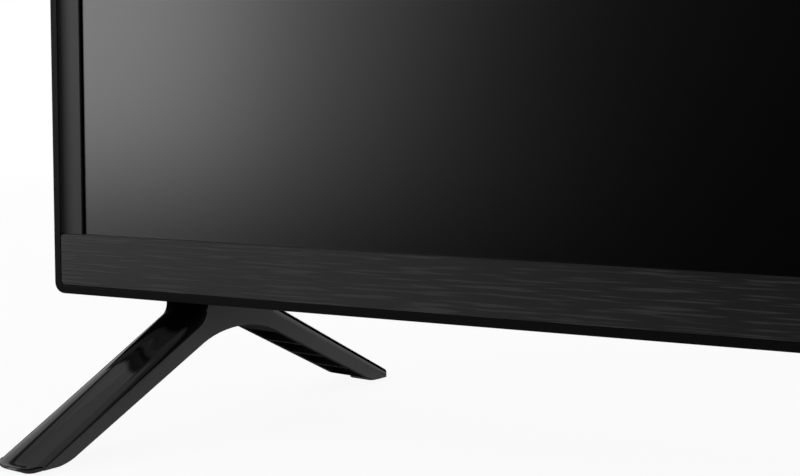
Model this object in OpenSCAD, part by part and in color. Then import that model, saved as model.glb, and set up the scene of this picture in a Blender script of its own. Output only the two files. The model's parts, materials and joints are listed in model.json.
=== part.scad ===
// Flat screen television on two splayed feet, in millimetres.
// +X is the viewer's right, +Y runs from the screen to the back, +Z is up.
// The origin lies on the table, midway between the feet.
// Depths are counted back from the front face, heights up from the casing's bottom edge.

/* [Screen] */
// Width of the lit picture
screen_w = 698; // [640:1:760]
// Height of the lit picture
screen_h = 392.5; // [370:0.5:430]
// Black margin between the bezel and the picture
matrix_edge = 2.4; // [2:0.1:3]
// Glass beyond the picture at the sides and the top
cell_side = 4; // [3.4:0.1:4.6]
// Glass below the picture, where the driver films are bonded
cell_foot = 9; // [8:0.1:10]
// Thickness of the two glass sheets together
cell_t = 1.4; // [1:0.1:2]
// Depth of the lit cavity behind the sheets
cavity_depth = 18; // [17:0.5:22]

/* [Casing] */
// Width of the bezel's face at the sides and the top
bezel_side = 11.3; // [11:0.1:16]
// Height of the bezel's face under the screen
bezel_bottom = 22; // [21:0.5:30]
// Width of the raised rim at the sides and the top
rim_w = 2.8; // [2.4:0.1:4]
// Height of the raised rim under the trim strip
rim_low = 3.1; // [2.6:0.1:3.4]
// Step from the rim back to the bezel's face
rim_step = 1.8; // [1.6:0.1:2]
// Thickness of the bezel's face and of its lip round the screen
lip_t = 0.8; // [0.7:0.1:1.2]
// Thickness of the trim strip
trim_t = 1.4; // [1:0.1:1.6]
// Thickness of the bezel's plastic
bezel_wall = 2.2; // [2:0.1:2.5]
// Depth of the bezel from front to back
bezel_depth = 16; // [14:0.5:18]
// Radius of the casing's corners
corner_r = 4; // [2:0.5:5]
// Thickness of the rear cover's plastic
cover_wall = 2.5; // [2:0.1:3]
// Depth of the casing above the bulge
slim_depth = 40; // [38:0.5:46]
// Depth of the casing at the bulge
body_depth = 74; // [72:0.5:84]
// Height of the bulge's back face above the wall mount's centre
bulge_h = 70; // [64:1:90]
// Distance of the bulge's back face from the casing's sides
bulge_inset = 37; // [34:1:42]

/* [Feet] */
// Height of the casing above the table
foot_h = 46.8; // [42:0.2:54]
// Length of a foot from toe to toe
foot_l = 196; // [178:1:214]
// Width of a foot
foot_w = 21.2; // [19:0.2:24]
// Angle by which the front toe turns outwards
foot_turn = 11.2; // [8:0.2:18]
// Distance of a foot's middle from the casing's side
foot_inset = 53.9; // [48:0.1:62]
// Distance of a foot's middle behind the front face
foot_back = 26.5; // [23:0.5:29]
// Depth of the legs, measured straight down where they meet
leg_h = 8.8; // [8:0.1:10]
// Length of the neck under the casing
neck_l = 34; // [30:0.5:38]
// Height of the toe's end above the table
toe_h = 2.9; // [2.6:0.1:4]
// Height of the crown along the top of each leg
crown_h = 1.4; // [1:0.1:2]
// Length of the flat under each toe
toe_l = 15; // [12.5:0.5:17]
// Depth of the bow across each toe's end
toe_bow = 6; // [4:0.1:7]
// Height of the rubber pad under each toe
pad_h = 1.5; // [1:0.1:2]
// Thickness of a foot's walls
foot_wall = 2.5; // [2:0.1:3]

/* [Wall mount] */
// Spacing of the wall mount holes, both ways
mount_pitch = 100; // [75:25:100]
// Radius of the wall mount's threaded holes
mount_r = 2; // [1.8:0.1:2.4]
// Height of the wall mount's centre above the main board
mount_h = 80; // [70:1:90]

/* [Keys and sockets] */
// Radius of a key's cap
key_r = 4.5; // [3.5:0.1:5]
// Spacing of the keys
key_pitch = 18; // [16:0.5:20]
// Height of the lowest key
key_h0 = 110; // [104:1:116]
// How far a key travels when pressed
key_travel = 0.6; // [0.3:0.1:0.8]
// How far a key stands out of the cover
key_proud = 1.2; // [0.9:0.1:2]
// Width of the socket bay
bay_w = 240; // [236:1:250]
// Height of the socket bay
bay_h = 52; // [46:1:56]
// Radius of the antenna stud
antenna_r = 4.75; // [4.5:0.05:5]
// Radius of the headphone bore
headphone_r = 1.8; // [1.7:0.05:2]

/* [Speakers] */
// Distance of a speaker's middle from the socket bay's side
speaker_x = 72; // [70:1:80]
// Length of a speaker box
speaker_l = 120; // [112:1:124]
// Height of a speaker box
speaker_h = 40; // [36:1:44]
// Width of a speaker's cone
cone_w = 22; // [18:0.5:22]
// Length of a speaker's cone
cone_l = 66; // [50:1:76]
// How far a cone travels each way
cone_travel = 1; // [0.5:0.1:1.2]

/* [Hidden] */
$fn = 48;
eps = 1;

// Outer size of the casing and the picture's place in it
body_w = screen_w + 2 * (matrix_edge + bezel_side);
half_w = body_w / 2;
front_y = -foot_back;
body_z = foot_h;
pic_x = screen_w / 2;
pic_h0 = bezel_bottom + matrix_edge;
pic_h1 = pic_h0 + screen_h;
body_h = pic_h1 + matrix_edge + bezel_side;

// Depths of the screen's layers, from the front to the board
gasket_t = 0.6;
ledge_t = 1.4;
film_sheet_t = 0.3;
plate_t = 1.5;
pan_t = 0.8;
standoff_h = 8;
board_t = 1.6;
d_lip = rim_step + lip_t;
d_cell = d_lip + gasket_t;
d_ledge = d_cell + cell_t;
d_prism = d_ledge + ledge_t;
d_sheet = d_prism + film_sheet_t;
d_plate = d_sheet + film_sheet_t;
d_flange = d_plate + plate_t;
d_cavity = d_flange + pan_t;
d_floor = d_cavity + cavity_depth;
d_pan = d_floor + pan_t;
d_board = d_pan + standoff_h;
d_parts = d_board + board_t;
d_wall = body_depth - cover_wall;

// Bezel and trim
trim_gap = 0.15;
trim_set = 0.2;
trim_r = 1.5;
win_x = half_w - bezel_side;
win_h1 = body_h - bezel_side;

// Screen layers
gasket_show = 0.5;
fit_gap = 0.4;
cell_x = pic_x + cell_side;
cell_h0 = pic_h0 - cell_foot;
cell_h1 = pic_h1 + cell_side;
ledge_show = 1;
sheet_side = 5;
sheet_x = pic_x + sheet_side;
sheet_h0 = pic_h0 - sheet_side;
sheet_h1 = pic_h1 + sheet_side;

// Driver films, folded under the panel from the glass to the source board
film_t = 0.3;
film_w = 40;
film_clear = 2.8;
film_count = 4;
film_end = 25;
source_end = 99;
source_l = screen_w - 2 * source_end;
film_pitch = (source_l - 2 * film_end) / (film_count - 1);
film_xs = [for (i = [0:film_count - 1]) (i - (film_count - 1) / 2) * film_pitch];
film_h = bezel_wall + film_clear;
film_lap = 4;
film_d = d_cell + gasket_t / 2;

// Middle frame and pan
frame_x = half_w - bezel_wall - fit_gap;
frame_h0 = film_h + film_t + film_clear;
frame_h1 = body_h - bezel_wall - fit_gap;
pan_side = 1;
pan_x = pic_x + pan_side;
pan_h0 = pic_h0 - pan_side;
pan_h1 = pic_h1 + pan_side;

// Backlight
bar_end = 29;
bar_l = screen_w - 2 * bar_end;
bar_h = 15;
bar_t = 1;
bar_low = 66.25;
bar_pitch = screen_h / 2 - bar_low;
lens_r = 7.5;
lens_h = 5.5;
lens_rim = 2;
lens_end = 32;
lens_count = 7;
lens_pitch = (bar_l - 2 * lens_end) / (lens_count - 1);
lens_gap = 0.6;
tray_t = 0.4;
tray_slope = 24;
tray_rim = 0.5;
post_r = 4;
post_tip_r = 1;
post_gap = 0.3;
bar_mid = pic_h0 + screen_h / 2;
d_bar = d_floor - bar_t;
d_tray = d_bar - tray_t;
feed_in = 12;
feed_r = 1.5;
feed_hole_r = 2.5;
link_w = 5;
link_t = 0.8;
link_x = -2.5 * lens_pitch;

// Source board behind the panel's foot
source_h = 16;
source_t = 1.2;
source_h0 = pan_h0 + film_t;
ribbon_w = 30;
ribbon_t = 0.4;

// Main board and the parts on it
board_x = 150;
feed_x = -board_x + feed_in;
board_rise = 10;
board_tall = 88;
board_low = bay_h + board_rise;
board_high = board_low + board_tall;
board_edge = 8;
board_hole_rise = 24;
hole_gap = 0.2;
standoff_r = 3.5;
screw_r = 1.4;
screw_head_r = 3;
screw_head_h = 2;
screw_l = 8;
board_holes = [for (x = [-board_x + board_edge, 0, board_x - board_edge])
               for (h = [board_low + board_hole_rise, board_high - board_edge]) [x, h]];
parts_rise = 44;
parts_mid = board_low + parts_rise;
heatsink_x = 70;
heatsink_w = 44;
heatsink_base = 4;
heatsink_fin_h = 12;
heatsink_fin_t = 1.4;
heatsink_fins = 8;
transformer_x = -60;
transformer_w = 34;
transformer_h = 30;
transformer_d = 24;
winding_w = 22;
winding_over = 3;
capacitor_r = 9;
capacitor_clear = 8.2;
capacitor_h = d_wall - d_parts - capacitor_clear;
capacitor_xs = [-122, -100];

// Sockets, mouth down, on the main board's lower edge
bay_x = bay_w / 2;
socket_gap = 0.4;
socket_proud = 0.8;
socket_lap = 6;
socket_low = bay_h - socket_proud;
socket_high = board_low + socket_lap;
socket_pitch = 17;
hdmi_pitch = 25;
antenna_in = 16;
antenna_x = bay_x - antenna_in;
jack_x = antenna_x - socket_pitch;
usb_x = jack_x - socket_pitch;
hdmi_xs = [usb_x - 2 * hdmi_pitch, usb_x - hdmi_pitch];
hdmi_w = 15.2;
hdmi_d = 6.6;
usb_w = 14.4;
usb_d = 7;
shell_t = 0.7;
tongue_t = 1.2;
tongue_inset = 2;
mouth_depth = 11;
jack_w = 9;
collar_r = 4;
collar_h = 1.2;
tuner_w = 16;
tuner_d = 14;
tuner_h = 30;
stud_l = 11;
stud_nut_rim = 1.75;
stud_nut_proud = 1;
stud_nut_r = antenna_r + stud_nut_rim;
inlet_in = 25;
inlet_x = -bay_x + inlet_in;
inlet_w = 26;
inlet_d = 18;
inlet_lobe_r = 4.3;
inlet_pitch = 8.6;
inlet_pin_r = 1.2;
inlet_pin_l = 9;

// Rear cover
cover_set = 0.8;
cover_slope = 10;
bulge_slope = 20;
bulge_rise = 30;
cover_x = half_w - cover_set;
cover_h1 = body_h - cover_set;
bulge_x = half_w - bulge_inset;
mount_mid = board_high + mount_h;
bulge_top = mount_mid + bulge_h;
cable_clear = 2.8;
bay_d = d_pan + cable_clear + cover_wall;
boss_gap = 0.45;
boss_r = (frame_x - pan_x - pan_t) / 2 - boss_gap;
cover_screw_r = 1.5;
cover_head_r = 2.8;
cover_head_h = 2;
cover_head_d = 22;
cover_head_gap = 0.3;
boss_x = (pan_x + pan_t + frame_x) / 2;
boss_h = (pan_h1 + pan_t + frame_h1) / 2;
cover_screw_end = 122.7;
cover_screw_low = 70;
cover_screw_high = 50;
cover_screw_xs = [-half_w + cover_screw_end, 0, half_w - cover_screw_end];
cover_screw_hs = [cover_screw_low, body_h / 2, body_h - cover_screw_high];
cover_screws_at = concat(
    [for (x = cover_screw_xs) [x, boss_h]],
    [for (side = [-1, 1]) for (h = cover_screw_hs) [side * boss_x, h]]);
vent_w = 3;
vent_l = 26;
vent_pitch = 12;
vent_count = 14;
vent_x0 = 90;
vent_top = 8;
grille_w = 2.4;
grille_pitch = 6;
grille_count = 11;

// Wall mount posts
mount_post_r = 7;
mount_nose_r = 4.5;
mount_nose_gap = 0.3;
mount_depth = 14;
mount_at = [for (x = [-1, 1]) for (h = [-1, 1]) [x * mount_pitch / 2, mount_mid + h * mount_pitch / 2]];

// Keys, one column on the bulge's back face
key_names = ["power", "menu", "source", "volume_up", "volume_down", "channel_up", "channel_down"];
key_inset = 35.7;
key_x = bulge_x - key_inset;
key_gap = 0.3;
key_flange = 1.6;
key_flange_t = 1.2;
key_stem_r = 2;
key_stem_l = 2;
key_dish = 0.4;
key_board_w = 20;
key_board_end = 20;
key_post_end = 6;
key_post_r = 3;
switch_h = 4.3;
switch_w = 6;
switch_cap_r = 1.7;
switch_cap_h = 0.9;
d_key_flange = d_wall - key_gap;
d_key_stem = d_key_flange - key_flange_t - key_stem_l;
d_switch = d_key_stem - key_travel - key_gap;
d_key_board = d_switch - switch_h;
key_h1 = key_h0 + (len(key_names) - 1) * key_pitch;
key_cable_w = 6;
key_cable_t = 1.2;
key_cable_h = key_h0 + key_pitch / 2;

// Remote control receiver behind the trim
remote_inset = 87.7;
remote_x = half_w - remote_inset;
remote_w = 30;
remote_board_t = 1;
remote_front = 0.6;
remote_back = 1;
remote_d0 = d_lip + remote_front;
remote_d1 = bezel_depth - remote_back;
sensor_w = 7;
sensor_h = 3.4;
sensor_d = 5;
sensor_back = 0.6;
window_w = 9;
window_h = 2.8;
window_flange = 1;
window_flange_t = 0.5;
window_gap = 0.1;
window_mid = bezel_wall + remote_board_t + sensor_h / 2;
remote_cable_w = 6;
remote_cable_t = 1;
remote_cable_rise = 32;
remote_cable_h = board_low + remote_cable_rise;
remote_cable_d = d_pan + cable_clear;

// Speakers
speaker_mid = bay_x + speaker_x;
speaker_d = (d_pan + d_wall) / 2;
speaker_wall = 2;
speaker_side = 1.1;
speaker_h0 = cover_wall;
speaker_h1 = speaker_h0 + speaker_h;
cone_t = 1;
cone_gap = 0.4;
cone_clear = 1;
cone_lift = cone_travel + cone_clear;
coil_r = 6;
coil_t = 1;
coil_in = 3;
coil_gap = 0.35;
basket_t = 1.5;
basket_h = 11;
magnet_r = 12;
magnet_h = 9;
yoke_h = 2;
speaker_w = cone_w + 2 * (cone_gap + basket_t + speaker_side + speaker_wall);
coil_l = basket_h + basket_t + coil_in - cone_lift - cone_t;
h_basket = speaker_h0 + speaker_wall;
h_cone = h_basket + cone_lift;
speaker_wire_w = 8;
speaker_wire_t = 1;
speaker_wire_in = 10;
speaker_wire_x = speaker_mid - speaker_l / 2 + speaker_wire_in;

// Feet
foot_x = half_w - foot_inset;
neck_r = 7;
neck_drop = 5.1;
arch_r = 44;
rib_t = 1.5;
pocket_count = 4;
pocket_start = 24;
pocket_skin = 2.5;
crown_in = 4.2;
crown_out = 7;
crown_sink = 0.4;
crown_end = 3;
neck_h = foot_h - neck_drop;
reach = foot_l / 2;
heel = reach - toe_l;
leg_slope = (neck_h - toe_h) / (reach - neck_l / 2);
arch_apex = neck_h + leg_slope * neck_l / 2 - leg_h;
under_slope = (arch_apex - pad_h) / heel;
arch_angle = atan(under_slope);
leg_angle = atan(leg_slope);
arch_mid = arch_apex - arch_r / cos(arch_angle);
arch_top = arch_mid + arch_r;
neck_bend = neck_r * (1 - sin(leg_angle)) / cos(leg_angle);
arc_steps = 12;
pad_w = 13;
pad_inset = 4.5;
pad_front = 3.2;
toe_r = (foot_w * foot_w / 4 + toe_bow * toe_bow) / (2 * toe_bow);
toe_angle = asin(foot_w / 2 / toe_r);
tenon_w = 12;
tenon_l = 18;
tenon_back = 13;
tenon_u = bezel_depth + tenon_back - foot_back;
tenon_gap = 0.4;
foot_screw_pitch = 12;
foot_screw_r = 2;
foot_head_r = 3.6;
foot_head_h = 3;
foot_head_sink = 4;
foot_hole_gap = 0.2;
bracket_w = 36;
bracket_back = 3;
bracket_l = 27;
bracket_d0 = bezel_depth + bracket_back;
bracket_d1 = bracket_d0 + bracket_l;
bracket_t = 2;
bracket_h = 60;
foot_screw_l = 2;

// Shapes that repeat

// Box between two x values, two depths and two heights
module block(x0, x1, d0, d1, h0, h1) {
    translate([x0, front_y + d0, body_z + h0])
        cube([x1 - x0, d1 - d0, h1 - h0]);
}

// Outline in x and height, made solid between two depths
module panel(d0, d1) {
    translate([0, front_y + d1, body_z])
        rotate([90, 0, 0])
            linear_extrude(d1 - d0) children();
}

// Outline in x and depth, made solid between two heights
module layer(h0, h1) {
    translate([0, front_y, body_z + h0])
        linear_extrude(h1 - h0) children();
}

// Outline in depth and height, made solid between two x values
module section(x0, x1) {
    translate([x0, front_y, body_z])
        rotate([90, 0, 90])
            linear_extrude(x1 - x0) children();
}

// Round bar that runs front to back
module bar_back(x, h, d0, d1, r) {
    translate([x, front_y + d0, body_z + h])
        rotate([-90, 0, 0])
            cylinder(r = r, h = d1 - d0);
}

// Round bar that stands up
module bar_up(x, d, h0, h1, r) {
    translate([x, front_y + d, body_z + h0])
        cylinder(r = r, h = h1 - h0);
}

// Rectangle with round corners, its lower edge at height h0
module round_plate(w, h0, h1, r) {
    for (x = [-1, 1])
        for (h = [h0 + r, h1 - r])
            translate([x * (w / 2 - r), h])
                circle(r);
    translate([-w / 2 + r, h0])
        square([w - 2 * r, h1 - h0]);
    translate([-w / 2, h0 + r])
        square([w, h1 - h0 - 2 * r]);
}

// Long oval in x and depth round a speaker's middle
module oval(w, l) {
    translate([-(l - w) / 2, -w / 2])
        square([l - w, w]);
    for (x = [-1, 1])
        translate([x * (l - w) / 2, 0])
            circle(w / 2);
}

// Block whose four sides slope from a front outline to a back outline
module tapered(d0, x0, low0, high0, d1, x1, low1, high1) {
    intersection() {
        section(-max(x0, x1), max(x0, x1))
            polygon([[d0, low0], [d0, high0], [d1, high1], [d1, low1]]);
        layer(min(low0, low1), max(high0, high1))
            polygon([[-x0, d0], [x0, d0], [x1, d1], [-x1, d1]]);
    }
}

// Front of the casing

module remote_hole(gap) {
    block(remote_x - window_w / 2 - gap, remote_x + window_w / 2 + gap, -eps, d_lip + eps,
          window_mid - window_h / 2 - gap, window_mid + window_h / 2 + gap);
}

module front_bezel() {
    color([0.05, 0.05, 0.055])
    difference() {
        panel(0, bezel_depth)
            round_plate(body_w, 0, body_h, corner_r);
        block(-half_w + bezel_wall, half_w - bezel_wall, d_lip, bezel_depth + eps,
              bezel_wall, body_h - bezel_wall);
        block(-win_x, win_x, -eps, d_lip + eps, bezel_bottom, win_h1);
        block(-half_w + rim_w, half_w - rim_w, -eps, rim_step, bezel_bottom, body_h - rim_w);
        panel(-eps, trim_set + trim_t)
            round_plate(body_w - 2 * rim_w, rim_low, bezel_bottom, trim_r);
        remote_hole(window_gap);
    }
}

module bottom_trim() {
    color([0.2, 0.2, 0.205])
    difference() {
        panel(trim_set, trim_set + trim_t)
            round_plate(body_w - 2 * (rim_w + trim_gap), rim_low + trim_gap,
                        bezel_bottom - trim_gap, trim_r);
        remote_hole(window_gap);
    }
}

module remote_window() {
    color([0.08, 0.02, 0.03])
    union() {
        block(remote_x - window_w / 2, remote_x + window_w / 2, trim_set, d_lip,
              window_mid - window_h / 2, window_mid + window_h / 2);
        block(remote_x - window_w / 2 - window_flange, remote_x + window_w / 2 + window_flange,
              d_lip, d_lip + window_flange_t,
              window_mid - window_h / 2 - window_flange / 2, window_mid + window_h / 2 + window_flange);
    }
}

// Screen

module bezel_gasket() {
    color([0.1, 0.1, 0.1])
    difference() {
        block(-cell_x, cell_x, d_lip, d_cell, cell_h0, cell_h1);
        block(-win_x - gasket_show, win_x + gasket_show, d_lip - eps, d_cell + eps,
              bezel_bottom - gasket_show, win_h1 + gasket_show);
    }
}

module lcd_cell() {
    color([0.03, 0.03, 0.035])
    block(-cell_x, cell_x, d_cell, d_ledge, cell_h0, cell_h1);
}

module middle_frame() {
    color([0.12, 0.12, 0.12])
    difference() {
        block(-frame_x, frame_x, d_lip, d_flange, frame_h0, frame_h1);
        block(-cell_x - fit_gap, cell_x + fit_gap, d_lip - eps, d_ledge,
              cell_h0 - fit_gap, cell_h1 + fit_gap);
        block(-pic_x - ledge_show, pic_x + ledge_show, d_lip - eps, d_flange + eps,
              pic_h0 - ledge_show, pic_h1 + ledge_show);
        block(-sheet_x - fit_gap, sheet_x + fit_gap, d_prism, d_flange + eps,
              sheet_h0 - fit_gap, sheet_h1 + fit_gap);
        for (x = film_xs)
            block(x - film_w / 2 - fit_gap, x + film_w / 2 + fit_gap, d_lip - eps, d_ledge,
                  frame_h0 - eps, cell_h0);
        block(remote_x - window_w, remote_x + window_w, d_lip - eps, d_lip + window_flange_t + fit_gap,
              frame_h0 - eps, window_mid + window_h / 2 + window_flange + fit_gap);
    }
}

module screen_sheet(d0, d1) {
    block(-sheet_x, sheet_x, d0, d1, sheet_h0, sheet_h1);
}

module prism_sheet() {
    color([0.85, 0.87, 0.9])
    screen_sheet(d_prism, d_sheet);
}

module diffuser_sheet() {
    color([0.93, 0.93, 0.93])
    screen_sheet(d_sheet, d_plate);
}

module diffuser_plate() {
    color([0.96, 0.96, 0.96])
    screen_sheet(d_plate, d_flange);
}

// Backlight

function bar_height(i) = bar_mid + (i - 2) * bar_pitch;

function lens_offset(k) = (k - (lens_count - 1) / 2) * lens_pitch;

module led_bar(i) {
    color([0.9, 0.9, 0.88])
    block(-bar_l / 2, bar_l / 2, d_bar, d_floor, bar_height(i) - bar_h / 2, bar_height(i) + bar_h / 2);
}

module led_lenses() {
    color([0.9, 0.92, 0.95])
    for (i = [1:3])
        for (k = [0:lens_count - 1])
            translate([lens_offset(k), front_y + d_bar, body_z + bar_height(i)])
                rotate([90, 0, 0]) {
                    cylinder(r = lens_r, h = lens_rim);
                    translate([0, 0, lens_rim])
                        cylinder(r1 = lens_r, r2 = lens_r / 2, h = lens_h - lens_rim);
                }
}

module tray_block(inset) {
    tapered(d_cavity + tray_rim, pan_x - tray_rim - inset, pan_h0 + tray_rim + inset,
            pan_h1 - tray_rim - inset,
            d_bar - inset, pan_x - tray_rim - tray_slope - inset, pan_h0 + tray_rim + tray_slope + inset,
            pan_h1 - tray_rim - tray_slope - inset);
}

module reflector_tray() {
    color([0.97, 0.97, 0.97])
    difference() {
        tray_block(0);
        tray_block(tray_t);
        for (i = [1:3])
            for (k = [0:lens_count - 1])
                bar_back(lens_offset(k), bar_height(i), d_tray - eps, d_bar + eps, lens_r + lens_gap);
    }
}

module diffuser_posts() {
    color([0.95, 0.95, 0.95])
    for (x = [-2, 0, 2])
        for (i = [-0.5, 0.5])
            translate([x * lens_pitch + lens_pitch / 2, front_y + d_tray, body_z + bar_mid + i * bar_pitch])
                rotate([90, 0, 0])
                    cylinder(r1 = post_r, r2 = post_tip_r, h = d_tray - d_flange - post_gap);
}

module backlight_cables() {
    color([0.8, 0.8, 0.8]) {
        bar_back(feed_x, bar_height(1), d_floor, d_board, feed_r);
        for (i = [1:2])
            block(link_x - link_w / 2, link_x + link_w / 2, d_floor - link_t, d_floor,
                  bar_height(i) + bar_h / 2, bar_height(i + 1) - bar_h / 2);
    }
}

module back_pan() {
    color([0.62, 0.63, 0.64])
    difference() {
        union() {
            block(-frame_x, frame_x, d_flange, d_cavity, frame_h0, frame_h1);
            block(-pan_x - pan_t, pan_x + pan_t, d_flange, d_pan, pan_h0 - pan_t, pan_h1 + pan_t);
        }
        block(-pan_x, pan_x, d_flange - eps, d_floor, pan_h0, pan_h1);
        bar_back(feed_x, bar_height(1), d_floor - eps, d_pan + eps, feed_hole_r);
        for (p = cover_screws_at)
            bar_back(p[0], p[1], d_flange - eps, d_cavity + eps, cover_screw_r + hole_gap);
    }
}

// Boards and cables

module source_board() {
    color([0.05, 0.25, 0.12])
    block(-source_l / 2, source_l / 2, d_pan, d_pan + source_t, source_h0, source_h0 + source_h);
}

module driver_films() {
    color([0.55, 0.35, 0.1])
    for (x = film_xs)
        section(x - film_w / 2, x + film_w / 2)
            polygon([
                [film_d, cell_h0],
                [film_d, film_h],
                [d_pan + source_t + film_t, film_h],
                [d_pan + source_t + film_t, source_h0 + film_lap],
                [d_pan + source_t, source_h0 + film_lap],
                [d_pan + source_t, film_h + film_t],
                [film_d + film_t, film_h + film_t],
                [film_d + film_t, cell_h0]
            ]);
}

module panel_cable() {
    d = d_pan + source_t;
    top = board_low + board_edge;
    color([0.85, 0.85, 0.85])
    section(-ribbon_w / 2, ribbon_w / 2)
        polygon([
            [d, source_h0 + source_h / 2],
            [d, top],
            [d_board, top],
            [d_board, top - ribbon_t],
            [d + ribbon_t, top - ribbon_t],
            [d + ribbon_t, source_h0 + source_h / 2]
        ]);
}

module main_board() {
    color([0.05, 0.28, 0.14])
    difference() {
        block(-board_x, board_x, d_board, d_parts, board_low, board_high);
        for (p = board_holes)
            bar_back(p[0], p[1], d_board - eps, d_parts + eps, screw_r + hole_gap);
    }
}

module board_standoffs() {
    color([0.75, 0.7, 0.5])
    for (p = board_holes)
        difference() {
            bar_back(p[0], p[1], d_pan, d_board, standoff_r);
            bar_back(p[0], p[1], d_parts - screw_l - fit_gap, d_board + eps, screw_r + hole_gap);
        }
}

module board_screws() {
    color([0.7, 0.7, 0.72])
    for (p = board_holes) {
        bar_back(p[0], p[1], d_parts - screw_l, d_parts, screw_r);
        bar_back(p[0], p[1], d_parts, d_parts + screw_head_h, screw_head_r);
    }
}

module processor_heatsink() {
    pitch = (heatsink_w - heatsink_fin_t) / (heatsink_fins - 1);
    left = heatsink_x - heatsink_w / 2;
    low = parts_mid - heatsink_w / 2;
    color([0.2, 0.2, 0.21])
    union() {
        block(left, left + heatsink_w, d_parts, d_parts + heatsink_base, low, low + heatsink_w);
        for (i = [0:heatsink_fins - 1])
            block(left + i * pitch, left + i * pitch + heatsink_fin_t, d_parts + heatsink_base,
                  d_parts + heatsink_base + heatsink_fin_h, low, low + heatsink_w);
    }
}

module transformer() {
    low = parts_mid - transformer_h / 2;
    high = parts_mid + transformer_h / 2;
    color([0.75, 0.6, 0.15])
    union() {
        block(transformer_x - transformer_w / 2, transformer_x + transformer_w / 2,
              d_parts, d_parts + transformer_d, low, high);
        block(transformer_x - winding_w / 2, transformer_x + winding_w / 2,
              d_parts, d_parts + transformer_d - winding_over, low - winding_over, high + winding_over);
    }
}

module filter_capacitors() {
    color([0.1, 0.12, 0.2])
    for (x = capacitor_xs)
        bar_back(x, parts_mid, d_parts, d_parts + capacitor_h, capacitor_r);
}

// Sockets

module antenna_socket() {
    tuner_low = bay_h + cover_wall + socket_gap;
    color([0.78, 0.78, 0.76])
    union() {
        block(antenna_x - tuner_w / 2, antenna_x + tuner_w / 2, d_parts, d_parts + tuner_d,
              tuner_low, tuner_low + tuner_h);
        bar_up(antenna_x, d_parts + tuner_d / 2, bay_h - stud_l, tuner_low + eps, antenna_r);
        bar_up(antenna_x, d_parts + tuner_d / 2, bay_h - stud_nut_proud, tuner_low + eps, stud_nut_r);
    }
}

module plug_shell(x, w, d) {
    difference() {
        block(x - w / 2, x + w / 2, d_parts, d_parts + d, socket_low, socket_high);
        block(x - w / 2 + shell_t, x + w / 2 - shell_t, d_parts + shell_t, d_parts + d - shell_t,
              socket_low - eps, socket_low + mouth_depth);
    }
    block(x - w / 2 + tongue_inset, x + w / 2 - tongue_inset, d_parts + (d - tongue_t) / 2,
          d_parts + (d + tongue_t) / 2, socket_low + tongue_inset, socket_low + mouth_depth + eps);
}

module hdmi_sockets() {
    color([0.7, 0.7, 0.72])
    for (x = hdmi_xs)
        plug_shell(x, hdmi_w, hdmi_d);
}

module usb_socket() {
    color([0.7, 0.7, 0.72])
    plug_shell(usb_x, usb_w, usb_d);
}

module headphone_jack() {
    color([0.08, 0.08, 0.08])
    difference() {
        union() {
            block(jack_x - jack_w / 2, jack_x + jack_w / 2, d_parts, d_parts + jack_w,
                  socket_low, socket_high);
            bar_up(jack_x, d_parts + jack_w / 2, socket_low - collar_h, socket_low + eps, collar_r);
        }
        bar_up(jack_x, d_parts + jack_w / 2, socket_low - collar_h - eps,
               socket_low + mouth_depth, headphone_r);
    }
}

module mains_inlet() {
    mid = d_parts + inlet_d / 2;
    color([0.06, 0.06, 0.06])
    union() {
        difference() {
            block(inlet_x - inlet_w / 2, inlet_x + inlet_w / 2, d_parts, d_parts + inlet_d,
                  socket_low, socket_high);
            for (side = [-1, 1])
                bar_up(inlet_x + side * inlet_pitch / 2, mid, socket_low - eps,
                       socket_low + mouth_depth, inlet_lobe_r);
            block(inlet_x - inlet_pitch / 2, inlet_x + inlet_pitch / 2, mid - inlet_lobe_r, mid + inlet_lobe_r,
                  socket_low - eps, socket_low + mouth_depth);
        }
        for (side = [-1, 1])
            bar_up(inlet_x + side * inlet_pitch / 2, mid, socket_low + mouth_depth - inlet_pin_l,
                   socket_low + mouth_depth + eps, inlet_pin_r);
    }
}

// Rear cover

module cover_block(t, open) {
    tapered(bezel_depth - open, cover_x - t, t, cover_h1 - t,
            slim_depth - t, cover_x - cover_slope - t, t, cover_h1 - cover_slope - t);
    tapered(slim_depth - t - eps, bulge_x + bulge_slope - t, t, bulge_top + bulge_rise - t,
            body_depth - t, bulge_x - t, t, bulge_top - t);
}

module bay_block(t) {
    block(-bay_x - t, bay_x + t, bay_d - t, body_depth + eps, -eps, bay_h + t);
}

module socket_cut(x, w, d) {
    block(x - w / 2 - socket_gap, x + w / 2 + socket_gap, d_parts - socket_gap, d_parts + d + socket_gap,
          bay_h - eps, bay_h + cover_wall + eps);
}

module cover_holes() {
    for (p = mount_at)
        bar_back(p[0], p[1], d_wall - eps, body_depth + eps, mount_nose_r + mount_nose_gap);
    for (i = [0:len(key_names) - 1])
        bar_back(key_x, key_h0 + i * key_pitch, d_wall - eps, body_depth + eps, key_r + key_gap);
    for (p = cover_screws_at) {
        bar_back(p[0], p[1], d_cavity - eps, body_depth, cover_screw_r + hole_gap);
        bar_back(p[0], p[1], cover_head_d, body_depth, cover_head_r + cover_head_gap);
    }
    for (x = hdmi_xs)
        socket_cut(x, hdmi_w, hdmi_d);
    socket_cut(usb_x, usb_w, usb_d);
    socket_cut(jack_x, jack_w, jack_w);
    socket_cut(inlet_x, inlet_w, inlet_d);
    bar_up(antenna_x, d_parts + tuner_d / 2, bay_h - eps, bay_h + cover_wall + eps, stud_nut_r + socket_gap);
}

module cover_slots() {
    panel(d_wall - eps, body_depth + eps)
        for (side = [-1, 1])
            for (i = [0:vent_count - 1])
                translate([side * (vent_x0 + i * vent_pitch) - vent_w / 2, bulge_top - vent_top - vent_l])
                    square([vent_w, vent_l]);
    layer(-eps, cover_wall + eps)
        for (side = [-1, 1])
            for (i = [0:grille_count - 1])
                translate([side * speaker_mid + (i - (grille_count - 1) / 2) * grille_pitch - grille_w / 2,
                           speaker_d - cone_w / 2])
                    square([grille_w, cone_w]);
}

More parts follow.
